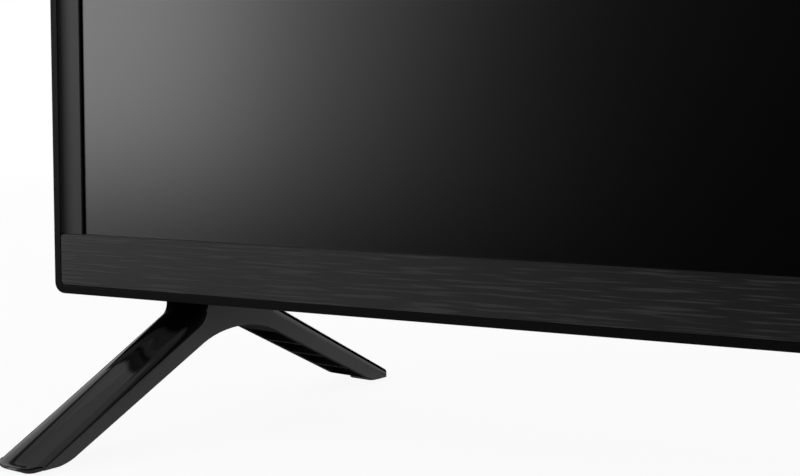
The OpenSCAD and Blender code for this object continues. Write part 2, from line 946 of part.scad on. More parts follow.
module tenon_holes(gap) {
    for (side = [-1, 1])
        foot_place(side)
            translate([-tenon_w / 2 - gap, tenon_u - tenon_l / 2 - gap, foot_h - eps])
                cube([tenon_w + 2 * gap, tenon_l + 2 * gap, cover_wall + 2 * eps]);
}

module rear_cover() {
    color([0.06, 0.06, 0.062])
    difference() {
        union() {
            difference() {
                cover_block(0, 0);
                difference() {
                    cover_block(cover_wall, eps);
                    bay_block(cover_wall);
                }
                bay_block(0);
            }
            intersection() {
                cover_block(0, bezel_depth);
                for (p = cover_screws_at)
                    bar_back(p[0], p[1], d_cavity, body_depth, boss_r);
            }
            for (h = [key_h0 - key_board_end + key_post_end, key_h1 + key_board_end - key_post_end])
                bar_back(key_x, h, d_key_board, d_wall + eps, key_post_r);
        }
        cover_holes();
        cover_slots();
        tenon_holes(tenon_gap);
    }
}

module cover_screws() {
    color([0.15, 0.15, 0.16])
    for (p = cover_screws_at) {
        bar_back(p[0], p[1], d_flange, cover_head_d, cover_screw_r);
        bar_back(p[0], p[1], cover_head_d, cover_head_d + cover_head_h, cover_head_r);
    }
}

module wall_mount_posts() {
    color([0.7, 0.7, 0.68])
    for (p = mount_at)
        difference() {
            union() {
                bar_back(p[0], p[1], d_pan, d_wall, mount_post_r);
                bar_back(p[0], p[1], d_wall - eps, body_depth, mount_nose_r);
            }
            bar_back(p[0], p[1], body_depth - mount_depth, body_depth + eps, mount_r);
        }
}

// Keys

module key(i) {
    h = key_h0 + i * key_pitch;
    color([0.07, 0.07, 0.075])
    difference() {
        union() {
            bar_back(key_x, h, d_key_stem, d_key_flange, key_stem_r);
            bar_back(key_x, h, d_key_flange - key_flange_t, d_key_flange, key_r + key_flange);
            bar_back(key_x, h, d_key_flange - key_flange_t, body_depth + key_proud, key_r);
        }
        bar_back(key_x, h, body_depth + key_proud - key_dish, body_depth + key_proud + eps, key_r / 2);
    }
}

module key_board() {
    color([0.05, 0.28, 0.14])
    block(key_x - key_board_w / 2, key_x + key_board_w / 2, d_key_board - board_t, d_key_board,
          key_h0 - key_board_end, key_h1 + key_board_end);
}

module key_switches() {
    color([0.1, 0.1, 0.1])
    for (i = [0:len(key_names) - 1]) {
        h = key_h0 + i * key_pitch;
        block(key_x - switch_w / 2, key_x + switch_w / 2, d_key_board, d_switch - switch_cap_h,
              h - switch_w / 2, h + switch_w / 2);
        bar_back(key_x, h, d_switch - switch_cap_h, d_switch, switch_cap_r);
    }
}

module key_cable() {
    near = d_parts - key_cable_t;
    far = d_key_board - board_t;
    edge = key_x + key_cable_w / 2;
    color([0.75, 0.75, 0.75])
    layer(key_cable_h, key_cable_h + key_cable_w)
        polygon([
            [board_x, near],
            [edge, near],
            [edge, far],
            [edge - key_cable_t, far],
            [edge - key_cable_t, d_parts],
            [board_x, d_parts]
        ]);
}

// Remote control receiver

module remote_board() {
    color([0.05, 0.28, 0.14])
    block(remote_x - remote_w / 2, remote_x + remote_w / 2, remote_d0, remote_d1,
          bezel_wall, bezel_wall + remote_board_t);
}

module remote_sensor() {
    color([0.05, 0.04, 0.05])
    block(remote_x - sensor_w / 2, remote_x + sensor_w / 2, remote_d0 + sensor_back,
          remote_d0 + sensor_back + sensor_d, bezel_wall + remote_board_t, bezel_wall + remote_board_t + sensor_h);
}

module remote_cable() {
    x0 = remote_x - remote_cable_w / 2;
    x1 = remote_x + remote_cable_w / 2;
    d1 = remote_cable_d + remote_cable_t;
    end_x = board_x - 2 * board_edge;
    color([0.7, 0.7, 0.7])
    union() {
        block(x0, x1, remote_d1, d1, cover_wall, cover_wall + remote_cable_t);
        block(x0, x1, remote_cable_d, d1, cover_wall, remote_cable_h + remote_cable_w);
        block(end_x, x1, remote_cable_d, d1, remote_cable_h, remote_cable_h + remote_cable_w);
        block(end_x, end_x + remote_cable_w, remote_cable_d, d_board, remote_cable_h,
              remote_cable_h + remote_cable_w);
    }
}

// Speakers

module at_speaker(side, h) {
    translate([side * speaker_mid, front_y + speaker_d, body_z + h]) children();
}

module speaker_box(side) {
    color([0.08, 0.08, 0.08])
    difference() {
        at_speaker(side, speaker_h0)
            translate([-speaker_l / 2, -speaker_w / 2, 0])
                cube([speaker_l, speaker_w, speaker_h]);
        at_speaker(side, speaker_h0 + speaker_wall)
            translate([-speaker_l / 2 + speaker_wall, -speaker_w / 2 + speaker_wall, 0])
                cube([speaker_l - 2 * speaker_wall, speaker_w - 2 * speaker_wall, speaker_h - 2 * speaker_wall]);
        at_speaker(side, speaker_h0 - eps)
            linear_extrude(speaker_wall + 2 * eps)
                oval(cone_w, cone_l);
    }
}

module speaker_driver(side) {
    inner_w = cone_w + 2 * cone_gap;
    inner_l = cone_l + 2 * cone_gap;
    color([0.35, 0.35, 0.37])
    union() {
        at_speaker(side, h_basket)
            linear_extrude(basket_h)
                difference() {
                    oval(inner_w + 2 * basket_t, inner_l + 2 * basket_t);
                    oval(inner_w, inner_l);
                }
        at_speaker(side, h_basket + basket_h)
            linear_extrude(basket_t)
                difference() {
                    oval(inner_w + 2 * basket_t, inner_l + 2 * basket_t);
                    circle(coil_r + coil_gap);
                }
        at_speaker(side, h_basket + basket_h + basket_t)
            linear_extrude(magnet_h)
                difference() {
                    circle(magnet_r);
                    circle(coil_r + coil_gap);
                }
        at_speaker(side, h_basket + basket_h + basket_t + magnet_h)
            cylinder(r = magnet_r, h = yoke_h);
    }
}

module speaker_cone(side) {
    color([0.12, 0.12, 0.12])
    union() {
        at_speaker(side, h_cone)
            linear_extrude(cone_t)
                oval(cone_w, cone_l);
        at_speaker(side, h_cone + cone_t)
            linear_extrude(coil_l)
                difference() {
                    circle(coil_r);
                    circle(coil_r - coil_t);
                }
    }
}

module speaker_cables() {
    color([0.5, 0.1, 0.1])
    for (side = [-1, 1])
        block(side * speaker_wire_x - speaker_wire_w / 2, side * speaker_wire_x + speaker_wire_w / 2,
              d_board, d_board + speaker_wire_t, speaker_h1, board_low);
}

// Feet

// Puts a foot's own frame in place: its length along Y, its width along X
module foot_place(side) {
    mirror([side > 0 ? 1 : 0, 0, 0])
        translate([-foot_x, 0, 0])
            rotate([0, 0, -foot_turn])
                children();
}

// Heights of a leg's upper and lower faces at a distance from the foot's middle
function leg_top(u) = neck_h - leg_slope * (u - neck_l / 2);

function leg_low(u) = arch_apex - under_slope * u;

function neck_arc() = [for (i = [0:arc_steps])
    let (a = 180 + (90 - leg_angle) * i / arc_steps)
    [neck_l / 2 + neck_r + neck_r * cos(a), neck_h + neck_bend + neck_r * sin(a)]];

function arch_arc() = [for (i = [0:2 * arc_steps])
    let (a = arch_angle * (1 - i / arc_steps))
    [arch_r * sin(a), arch_mid + arch_r * cos(a)]];

function flipped(points) = [for (i = [len(points) - 1:-1:0]) [-points[i][0], points[i][1]]];

module foot_outline() {
    side = concat([[neck_l / 2, foot_h]], neck_arc(), [[reach, toe_h], [reach, pad_h], [heel, pad_h]]);
    polygon(concat(side, arch_arc(), flipped(side)));
}

// Plan of a foot with bowed toes
function toe_arc() = [for (i = [arc_steps:-1:-arc_steps])
    let (a = toe_angle * i / arc_steps)
    [toe_r * sin(a), reach - toe_r + toe_r * cos(a)]];

module foot_plan(h) {
    linear_extrude(h)
        polygon(concat(toe_arc(), [for (q = toe_arc()) [-q[0], -q[1]]]));
}

module leg_pocket(k) {
    step = (heel - pocket_start) / pocket_count;
    u0 = pocket_start + k * step;
    u1 = u0 + step - rib_t;
    polygon([
        [u0, leg_low(u0) - eps],
        [u0, leg_top(u0) - pocket_skin],
        [u1, leg_top(u1) - pocket_skin],
        [u1, leg_low(u1) - eps]
    ]);
}

// Crown of one leg, a bar with sloping sides laid along the leg's upper face
module leg_crown() {
    half = foot_w / 2;
    run = (reach - neck_l / 2) / cos(leg_angle);
    translate([0, neck_l / 2, neck_h])
        rotate([-90 - leg_angle, 0, 0])
            translate([0, 0, -crown_h / 2])
                linear_extrude(run + crown_h / 2 - crown_end)
                    polygon([
                        [-half + crown_sink, crown_sink],
                        [half - crown_sink, crown_sink],
                        [half - crown_in, -crown_h],
                        [-half + crown_out, -crown_h]
                    ]);
}

function foot_screw_at() = [for (i = [-0.5, 0.5]) tenon_u + i * foot_screw_pitch];

// Outline in length and height of a foot, made solid across its width
module foot_solid(w) {
    translate([-w / 2, 0, 0])
        rotate([90, 0, 90])
            linear_extrude(w) children();
}

module foot(side) {
    color([0.05, 0.05, 0.052])
    foot_place(side)
        difference() {
            union() {
                intersection() {
                    union() {
                        foot_solid(foot_w)
                            foot_outline();
                        for (end = [0, 1])
                            mirror([0, end, 0])
                                leg_crown();
                    }
                    foot_plan(foot_h);
                }
                translate([-tenon_w / 2, tenon_u - tenon_l / 2, foot_h - eps])
                    cube([tenon_w, tenon_l, cover_wall + eps]);
            }
            for (end = [0, 1])
                mirror([0, end, 0])
                    for (k = [0:pocket_count - 1])
                        foot_solid(foot_w - 2 * foot_wall)
                            leg_pocket(k);
            for (u = foot_screw_at())
                translate([0, u, 0]) {
                    cylinder(r = foot_screw_r + foot_hole_gap, h = foot_h + cover_wall + eps);
                    cylinder(r = foot_head_r + foot_hole_gap, h = arch_top + foot_head_sink);
                }
        }
}

module foot_bracket(side) {
    mid = side * foot_x;
    color([0.6, 0.6, 0.62])
    difference() {
        union() {
            block(mid - bracket_w / 2, mid + bracket_w / 2, bracket_d0, bracket_d1,
                  cover_wall, cover_wall + bracket_t);
            block(mid - bracket_w / 2, mid + bracket_w / 2, d_pan, d_pan + bracket_t,
                  cover_wall, bracket_h);
        }
        foot_place(side)
            for (u = foot_screw_at())
                translate([0, u, foot_h])
                    cylinder(r = foot_screw_r + foot_hole_gap / 2, h = cover_wall + bracket_t + eps);
    }
}

module foot_screws() {
    head_top = arch_top + foot_head_sink;
    color([0.65, 0.65, 0.67])
    for (side = [-1, 1])
        foot_place(side)
            for (u = foot_screw_at())
                translate([0, u, head_top - foot_head_h]) {
                    cylinder(r = foot_head_r, h = foot_head_h);
                    cylinder(r = foot_screw_r,
                             h = foot_h + cover_wall + bracket_t + foot_screw_l - head_top + foot_head_h);
                }
}

module foot_pads() {
    color([0.1, 0.1, 0.1])
    for (side = [-1, 1])
        foot_place(side)
            for (end = [0, 1])
                mirror([0, end, 0])
                    translate([-pad_w / 2, heel + pad_inset, 0])
                        cube([pad_w, toe_l - pad_inset - pad_front, pad_h]);
}

front_bezel();
bottom_trim();
remote_window();
bezel_gasket();
lcd_cell();
middle_frame();
prism_sheet();
diffuser_sheet();
diffuser_plate();
diffuser_posts();
reflector_tray();
led_bar(1);  // led_bar_1
led_bar(2);  // led_bar_2
led_bar(3);  // led_bar_3
led_lenses();
backlight_cables();
back_pan();
source_board();
driver_films();
panel_cable();
main_board();
board_standoffs();
board_screws();
processor_heatsink();
transformer();
filter_capacitors();
antenna_socket();
hdmi_sockets();
usb_socket();
headphone_jack();
mains_inlet();
key_board();
key_switches();
key_cable();
key(0);  // power_key
key(1);  // menu_key
key(2);  // source_key
key(3);  // volume_up_key
key(4);  // volume_down_key
key(5);  // channel_up_key
key(6);  // channel_down_key
remote_board();
remote_sensor();
remote_cable();
speaker_box(-1);  // speaker_box_left
speaker_box(1);  // speaker_box_right
speaker_driver(-1);  // speaker_driver_left
speaker_driver(1);  // speaker_driver_right
speaker_cone(-1);  // speaker_cone_left
speaker_cone(1);  // speaker_cone_right
speaker_cables();
rear_cover();
cover_screws();
wall_mount_posts();
foot(-1);  // foot_left
foot(1);  // foot_right
foot_bracket(-1);  // foot_bracket_left
foot_bracket(1);  // foot_bracket_right
foot_screws();
foot_pads();
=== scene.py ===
import json
import math

import bmesh
import bpy
from mathutils import Matrix, Vector


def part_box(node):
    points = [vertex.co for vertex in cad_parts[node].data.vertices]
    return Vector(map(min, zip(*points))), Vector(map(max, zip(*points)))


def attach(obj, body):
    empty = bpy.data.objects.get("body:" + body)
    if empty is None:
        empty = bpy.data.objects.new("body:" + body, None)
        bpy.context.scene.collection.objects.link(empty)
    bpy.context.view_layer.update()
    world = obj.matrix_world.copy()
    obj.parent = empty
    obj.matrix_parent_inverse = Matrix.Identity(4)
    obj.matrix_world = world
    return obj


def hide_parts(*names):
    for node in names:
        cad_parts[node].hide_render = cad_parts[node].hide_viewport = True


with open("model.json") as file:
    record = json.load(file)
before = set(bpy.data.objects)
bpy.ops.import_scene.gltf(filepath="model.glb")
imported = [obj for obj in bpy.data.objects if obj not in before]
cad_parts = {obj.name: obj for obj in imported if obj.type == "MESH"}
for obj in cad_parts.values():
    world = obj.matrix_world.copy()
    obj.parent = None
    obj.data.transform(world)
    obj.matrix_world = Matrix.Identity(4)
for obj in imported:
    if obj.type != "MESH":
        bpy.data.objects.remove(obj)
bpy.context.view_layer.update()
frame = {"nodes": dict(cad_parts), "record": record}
nodes = frame["nodes"]
scene = bpy.context.scene
scene.view_settings.view_transform = "Standard"
mm = 0.001
print("frame loaded,", len(nodes), "nodes")

# the casing's front and bottom in metres, and its sizes in millimetres
bezelLow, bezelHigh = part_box("front_bezel")
frontY = bezelLow.y
bottomZ = bezelLow.z
halfW = bezelHigh.x / mm
fullH = (bezelHigh.z - bezelLow.z) / mm
bezelDepth = (bezelHigh.y - bezelLow.y) / mm


# shader groups that several finishes share

def newGroup(name, inputs, outputs):
    group = bpy.data.node_groups.new(name, "ShaderNodeTree")
    for label, kind, value in inputs:
        socket = group.interface.new_socket(name=label, in_out="INPUT", socket_type=kind)
        if value is not None:
            socket.default_value = value
    for label in outputs:
        group.interface.new_socket(name=label, in_out="OUTPUT", socket_type="NodeSocketFloat")
    return group, group.nodes.new("NodeGroupInput"), group.nodes.new("NodeGroupOutput")


def addNode(tree, kind, settings=None, values=None):
    node = tree.nodes.new(kind)
    for key, value in (settings or {}).items():
        setattr(node, key, value)
    for key, value in (values or {}).items():
        node.inputs[key].default_value = value
    return node


def makeGrainGroup():
    group, given, out = newGroup(
        "mouldedGrain",
        [("Vector", "NodeSocketVector", None), ("Scale", "NodeSocketFloat", 800.0)],
        ["Height", "Tone"])
    pebbles = addNode(group, "ShaderNodeTexVoronoi", {"feature": "SMOOTH_F1"}, {"Smoothness": 0.6})
    fine = addNode(group, "ShaderNodeTexNoise", None, {"Detail": 4.0, "Roughness": 0.6})
    patches = addNode(group, "ShaderNodeTexNoise", None, {"Scale": 9.0, "Detail": 3.0})
    mixed = addNode(group, "ShaderNodeMath", {"operation": "MULTIPLY_ADD"})
    mixed.inputs[1].default_value = 0.6
    link = group.links.new
    for texture in (pebbles, fine, patches):
        link(given.outputs["Vector"], texture.inputs["Vector"])
    for texture in (pebbles, fine):
        link(given.outputs["Scale"], texture.inputs["Scale"])
    link(pebbles.outputs["Distance"], mixed.inputs[0])
    link(fine.outputs["Fac"], mixed.inputs[2])
    link(mixed.outputs["Value"], out.inputs["Height"])
    link(patches.outputs["Fac"], out.inputs["Tone"])
    return group


def makeBrushGroup():
    group, given, out = newGroup(
        "brushedLines",
        [("Vector", "NodeSocketVector", None), ("Stretch", "NodeSocketVector", (45.0, 1.0, 1500.0))],
        ["Line", "Height"])
    stretched = addNode(group, "ShaderNodeVectorMath", {"operation": "MULTIPLY"})
    dashes = addNode(group, "ShaderNodeTexNoise", None, {"Scale": 1.0, "Detail": 1.0, "Roughness": 0.5})
    hairs = addNode(group, "ShaderNodeTexNoise", None, {"Scale": 2.6, "Detail": 2.0, "Roughness": 0.6})
    sharp = addNode(group, "ShaderNodeMapRange", None,
                    {"From Min": 0.53, "From Max": 0.63, "To Min": 0.0, "To Max": 1.0})
    both = addNode(group, "ShaderNodeMath", {"operation": "MULTIPLY_ADD"})
    both.inputs[1].default_value = 0.45
    link = group.links.new
    link(given.outputs["Vector"], stretched.inputs[0])
    link(given.outputs["Stretch"], stretched.inputs[1])
    link(stretched.outputs["Vector"], dashes.inputs["Vector"])
    link(stretched.outputs["Vector"], hairs.inputs["Vector"])
    link(dashes.outputs["Fac"], sharp.inputs["Value"])
    link(hairs.outputs["Fac"], both.inputs[0])
    link(sharp.outputs["Result"], both.inputs[2])
    link(sharp.outputs["Result"], out.inputs["Line"])
    link(both.outputs["Value"], out.inputs["Height"])
    return group


grainGroup = makeGrainGroup()
brushGroup = makeBrushGroup()


def placeGroup(tree, group, vector, values):
    node = tree.nodes.new("ShaderNodeGroup")
    node.node_tree = group
    tree.links.new(vector, node.inputs["Vector"])
    for key, value in values.items():
        node.inputs[key].default_value = value
    return node


# a finish is a plain dictionary: two colours, a roughness span, a grain and its depth

def newFinish(name, finish):
    material = bpy.data.materials.new(name)
    material.use_nodes = True
    tree = material.node_tree
    tree.nodes.clear()
    output = tree.nodes.new("ShaderNodeOutputMaterial")
    shader = tree.nodes.new("ShaderNodeBsdfPrincipled")
    coords = tree.nodes.new("ShaderNodeTexCoord")
    link = tree.links.new
    link(shader.outputs["BSDF"], output.inputs["Surface"])
    if "brush" in finish:
        pattern = placeGroup(tree, brushGroup, coords.outputs["Object"], {"Stretch": finish["brush"]})
        tone = pattern.outputs["Line"]
    else:
        pattern = placeGroup(tree, grainGroup, coords.outputs["Object"], {"Scale": finish["grain"]})
        tone = pattern.outputs["Tone"]
    colours = addNode(tree, "ShaderNodeMix", {"data_type": "RGBA"})
    colours.inputs["A"].default_value = (*finish["dark"], 1.0)
    colours.inputs["B"].default_value = (*finish["light"], 1.0)
    rough = addNode(tree, "ShaderNodeMapRange", None,
                    {"To Min": finish["rough"][0], "To Max": finish["rough"][1]})
    bump = addNode(tree, "ShaderNodeBump", None,
                   {"Strength": finish["bump"], "Distance": finish["depth"] * mm})
    link(tone, colours.inputs["Factor"])
    link(tone, rough.inputs["Value"])
    link(pattern.outputs["Height"], bump.inputs["Height"])
    link(colours.outputs["Result"], shader.inputs["Base Color"])
    link(rough.outputs["Result"], shader.inputs["Roughness"])
    link(bump.outputs["Normal"], shader.inputs["Normal"])
    shader.inputs["Metallic"].default_value = finish.get("metal", 0.0)
    shader.inputs["Specular IOR Level"].default_value = finish.get("specular", 0.5)
    shader.inputs["Coat Weight"].default_value = finish.get("coat", 0.0)
    shader.inputs["Coat Roughness"].default_value = 0.05
    return material


def grey(value, tint=1.0):
    return (value, value, value * tint)


finishes = {
    "bezelPlastic": {"dark": grey(0.001), "light": grey(0.003), "rough": (0.52, 0.6), "specular": 0.44,
                     "grain": 2600.0, "bump": 0.12, "depth": 0.02},
    "rimPlastic": {"dark": grey(0.0028), "light": grey(0.0036), "rough": (0.38, 0.44), "specular": 0.05,
                   "grain": 2600.0, "bump": 0.05, "depth": 0.02},
    "trimBrushed": {"dark": grey(0.0005), "light": grey(0.012), "rough": (0.48, 0.56), "specular": 0.36,
                    "brush": (40.0, 1.0, 1300.0), "bump": 0.3, "depth": 0.06},
    "screenPolariser": {"dark": grey(0.0004), "light": grey(0.0008), "rough": (0.225, 0.245),
                        "grain": 6000.0, "bump": 0.02, "depth": 0.01},
    "coverTextured": {"dark": grey(0.006), "light": grey(0.011), "rough": (0.5, 0.66),
                      "grain": 1500.0, "bump": 0.5, "depth": 0.12},
    "footGloss": {"dark": grey(0.0006), "light": grey(0.001), "rough": (0.07, 0.1), "specular": 0.3,
                  "grain": 900.0, "bump": 0.01, "depth": 0.01},
    "footSatin": {"dark": grey(0.038), "light": grey(0.045), "rough": (0.44, 0.54), "specular": 0.2,
                  "grain": 2400.0, "bump": 0.15, "depth": 0.03},
    # the feet's underside, hollow and neck top: the foot's plastic made darker and duller, painted shade
    "footPaintedShade": {"dark": grey(0.0008), "light": grey(0.0016), "rough": (0.7, 0.85), "specular": 0.02,
                   "grain": 1600.0, "bump": 0.2, "depth": 0.04},
    "padRubber": {"dark": grey(0.008), "light": grey(0.014), "rough": (0.72, 0.86),
                  "grain": 1800.0, "bump": 0.4, "depth": 0.08},
    "keySatin": {"dark": grey(0.009), "light": grey(0.014), "rough": (0.26, 0.36),
                 "grain": 2600.0, "bump": 0.1, "depth": 0.02},
    "screwBlack": {"dark": grey(0.05), "light": grey(0.09), "rough": (0.3, 0.5), "metal": 1.0,
                   "grain": 2200.0, "bump": 0.15, "depth": 0.03},
}
made = {name: newFinish(name, finish) for name, finish in finishes.items()}

# finishes of the frame's own pieces, by material slot
slotFinishes = {
    "window_plastic": {"dark": (0.012, 0.002, 0.003), "light": (0.02, 0.004, 0.005), "rough": (0.06, 0.1),
                       "grain": 900.0, "bump": 0.02, "depth": 0.01, "coat": 0.5},
    "gasket_foam": {"dark": grey(0.008), "light": grey(0.014), "rough": (0.85, 0.95),
                    "grain": 1600.0, "bump": 0.6, "depth": 0.15},
    "frame_plastic": {"dark": grey(0.02), "light": grey(0.03), "rough": (0.5, 0.62),
                      "grain": 1400.0, "bump": 0.3, "depth": 0.08},
    "optical_sheet": {"dark": grey(0.78, 1.02), "light": grey(0.86, 1.02), "rough": (0.4, 0.55),
                      "grain": 4000.0, "bump": 0.05, "depth": 0.02},
    "reflector_white": {"dark": grey(0.84), "light": grey(0.92), "rough": (0.7, 0.82),
                        "grain": 1200.0, "bump": 0.2, "depth": 0.06},
    "lens_clear": {"dark": grey(0.72, 1.04), "light": grey(0.82, 1.04), "rough": (0.06, 0.12),
                   "grain": 900.0, "bump": 0.02, "depth": 0.01, "coat": 0.4},
    "bar_white": {"dark": grey(0.7, 0.97), "light": grey(0.8, 0.97), "rough": (0.35, 0.45),
                  "grain": 1500.0, "bump": 0.1, "depth": 0.03},
    "board_green": {"dark": (0.006, 0.05, 0.02), "light": (0.012, 0.1, 0.04), "rough": (0.28, 0.42),
                    "grain": 700.0, "bump": 0.3, "depth": 0.05, "coat": 0.3},
    "film_amber": {"dark": (0.28, 0.12, 0.02), "light": (0.4, 0.2, 0.04), "rough": (0.25, 0.36),
                   "grain": 900.0, "bump": 0.1, "depth": 0.02},
    "cable_sleeve": {"dark": grey(0.42), "light": grey(0.55), "rough": (0.42, 0.55),
                     "grain": 1500.0, "bump": 0.2, "depth": 0.05},
    "pan_steel": {"dark": grey(0.42, 1.03), "light": grey(0.58, 1.03), "rough": (0.3, 0.46), "metal": 1.0,
                  "grain": 160.0, "bump": 0.05, "depth": 0.03},
    "fastener_steel": {"dark": grey(0.34, 1.03), "light": grey(0.48, 1.03), "rough": (0.28, 0.42),
                       "metal": 1.0, "grain": 1800.0, "bump": 0.1, "depth": 0.03},
    "standoff_brass": {"dark": (0.55, 0.4, 0.16), "light": (0.72, 0.56, 0.26), "rough": (0.25, 0.36),
                       "metal": 1.0, "grain": 1800.0, "bump": 0.08, "depth": 0.03},
    "heatsink_aluminium": {"dark": grey(0.05, 1.04), "light": grey(0.08, 1.04), "rough": (0.36, 0.48),
                           "metal": 1.0, "grain": 1800.0, "bump": 0.1, "depth": 0.03},
    "transformer_tape": {"dark": (0.46, 0.3, 0.03), "light": (0.62, 0.42, 0.06), "rough": (0.3, 0.42),
                         "grain": 700.0, "bump": 0.2, "depth": 0.05},
    "capacitor_sleeve": {"dark": (0.012, 0.018, 0.05), "light": (0.025, 0.035, 0.09), "rough": (0.18, 0.28),
                         "grain": 900.0, "bump": 0.08, "depth": 0.03, "coat": 0.3},
    "socket_metal": {"dark": grey(0.5, 1.02), "light": grey(0.68, 1.02), "rough": (0.2, 0.32), "metal": 1.0,
                     "grain": 1800.0, "bump": 0.06, "depth": 0.02},
    "socket_plastic": {"dark": grey(0.008), "light": grey(0.014), "rough": (0.35, 0.48),
                       "grain": 1800.0, "bump": 0.2, "depth": 0.04},
    "speaker_plastic": {"dark": grey(0.014), "light": grey(0.022), "rough": (0.5, 0.62),
                        "grain": 1400.0, "bump": 0.3, "depth": 0.08},
    "speaker_iron": {"dark": grey(0.2, 1.03), "light": grey(0.3, 1.03), "rough": (0.32, 0.46), "metal": 1.0,
                     "grain": 1500.0, "bump": 0.1, "depth": 0.04},
    "cone_paper": {"dark": grey(0.012), "light": grey(0.02), "rough": (0.8, 0.9),
                   "grain": 1100.0, "bump": 0.6, "depth": 0.15},
    "bracket_steel": {"dark": grey(0.36, 1.03), "light": grey(0.5, 1.03), "rough": (0.3, 0.44), "metal": 1.0,
                      "grain": 300.0, "bump": 0.06, "depth": 0.03},
}
slotMaterial = {slot: newFinish(slot, finish) for slot, finish in slotFinishes.items()}
slotMaterial.update({
    "bezel_plastic": made["bezelPlastic"], "trim_strip": made["trimBrushed"],
    "screen_glass": made["screenPolariser"], "cover_plastic": made["coverTextured"],
    "foot_plastic": made["footSatin"], "pad_rubber": made["padRubber"], "key_plastic": made["keySatin"],
})
for part in frame["record"]["subparts"]:
    mesh = nodes[part["node"]].data
    mesh.materials.clear()
    mesh.materials.append(slotMaterial[part["material_slot"]])
print("finishes made:", len(bpy.data.materials))


# shaping helpers

def finishPiece(bm, name, materials, body="casing", replaced=(), sharpAngle=35, flatFaces=False):
    bmesh.ops.remove_doubles(bm, verts=bm.verts, dist=0.002 * mm)
    bmesh.ops.recalc_face_normals(bm, faces=bm.faces)
    for face in bm.faces:
        face.smooth = True
    for edge in bm.edges:
        edge.smooth = edge.calc_face_angle(math.pi) < math.radians(sharpAngle)
    mesh = bpy.data.meshes.new(name)
    bm.to_mesh(mesh)
    bm.free()
    piece = bpy.data.objects.new(name, mesh)
    scene.collection.objects.link(piece)
    for material in materials:
        mesh.materials.append(material)
    if flatFaces:
        shading = piece.modifiers.new("flatFaces", "WEIGHTED_NORMAL")
        shading.keep_sharp = True
        shading.weight = 100
    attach(piece, body)
    if replaced:
        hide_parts(*replaced)
    print("piece", name, len(mesh.polygons), "faces")
    return piece


def roundedLoop(bm, halfX, low, high, radius, depth):
    earlier = set(bm.verts)
    place = ((-halfX, low), (halfX, low), (halfX, high), (-halfX, high))
    corners = [bm.verts.new((x * mm, frontY + depth * mm, bottomZ + h * mm)) for x, h in place]
    bm.faces.new(corners)
    bmesh.ops.bevel(bm, geom=corners, offset=radius * mm, segments=6, profile=0.5,
                    affect="VERTICES", material=-1)
    loopVerts = [v for v in bm.verts if v not in earlier]
    faces = {f for v in loopVerts for f in v.link_faces}
    bmesh.ops.delete(bm, geom=list(faces), context="FACES_ONLY")
    return list({e for v in loopVerts for e in v.link_edges})


def bridgeRings(bm, rings, closed):
    pairs = list(zip(rings, rings[1:]))
    if closed:
        pairs.append((rings[-1], rings[0]))
    for first, second in pairs:
        bmesh.ops.bridge_loops(bm, edges=first + second)


def roundEdges(bm, edges, offset, segments):
    bmesh.ops.bevel(bm, geom=list(edges), offset=offset * mm, segments=segments, profile=0.5,
                    affect="EDGES", material=-1, clamp_overlap=True)


def cutAcross(bm, point, normal, clearInner=False):
    everything = bm.verts[:] + bm.edges[:] + bm.faces[:]
    return bmesh.ops.bisect_plane(bm, geom=everything, plane_co=point, plane_no=normal,
                                  clear_inner=clearInner)


def pushFaces(bm, faces, shift):
    edges = list({e for f in faces for e in f.edges})
    grown = bmesh.ops.extrude_face_region(bm, geom=faces + edges)["geom"]
    moved = [g for g in grown if isinstance(g, bmesh.types.BMVert)]
    bmesh.ops.translate(bm, vec=shift, verts=moved)
    return [g for g in grown if isinstance(g, bmesh.types.BMFace)]


def endFace(bm, way):
    return max(bm.faces, key=lambda f: (round(way * f.calc_center_median().y, 7), f.calc_area()))


def cutFace(bm, way, point, normal):
    reach = max(way * v.co.y for v in bm.verts)
    flat = [f for f in bm.faces if reach - way * f.calc_center_median().y < 1e-7]
    geom = flat + list({e for f in flat for e in f.edges}) + list({v for f in flat for v in f.verts})
    bmesh.ops.bisect_plane(bm, geom=geom, plane_co=point, plane_no=normal)


def repeatPiece(bm, places, name, materials, replaced):
    one = bpy.data.meshes.new(name)
    bm.to_mesh(one)
    bm.clear()
    for place in places:
        earlier = set(bm.verts)
        bm.from_mesh(one)
        bmesh.ops.transform(bm, matrix=place, verts=[v for v in bm.verts if v not in earlier])
    bpy.data.meshes.remove(one)
    return finishPiece(bm, name, materials, replaced=replaced)


# front bezel: outer wall, raised rim and the lip round the screen
bezel = {
    "corner": 4.0, "rim": 2.8, "lowRim": 3.1, "outerEdge": 0.25, "rimEdge": 0.15, "recessCorner": 1.5,
    "recess": 2.1, "side": 11.3, "foot": 22.0, "lip": 2.6, "wall": 2.2, "windowCorner": 0.4,
    "innerCorner": 1.8, "rimFall": 0.06, "rimShare": 0.66,
    "slope": 0.02,  # two rings in one plane bridge askew, so each floor has a slight fall
}


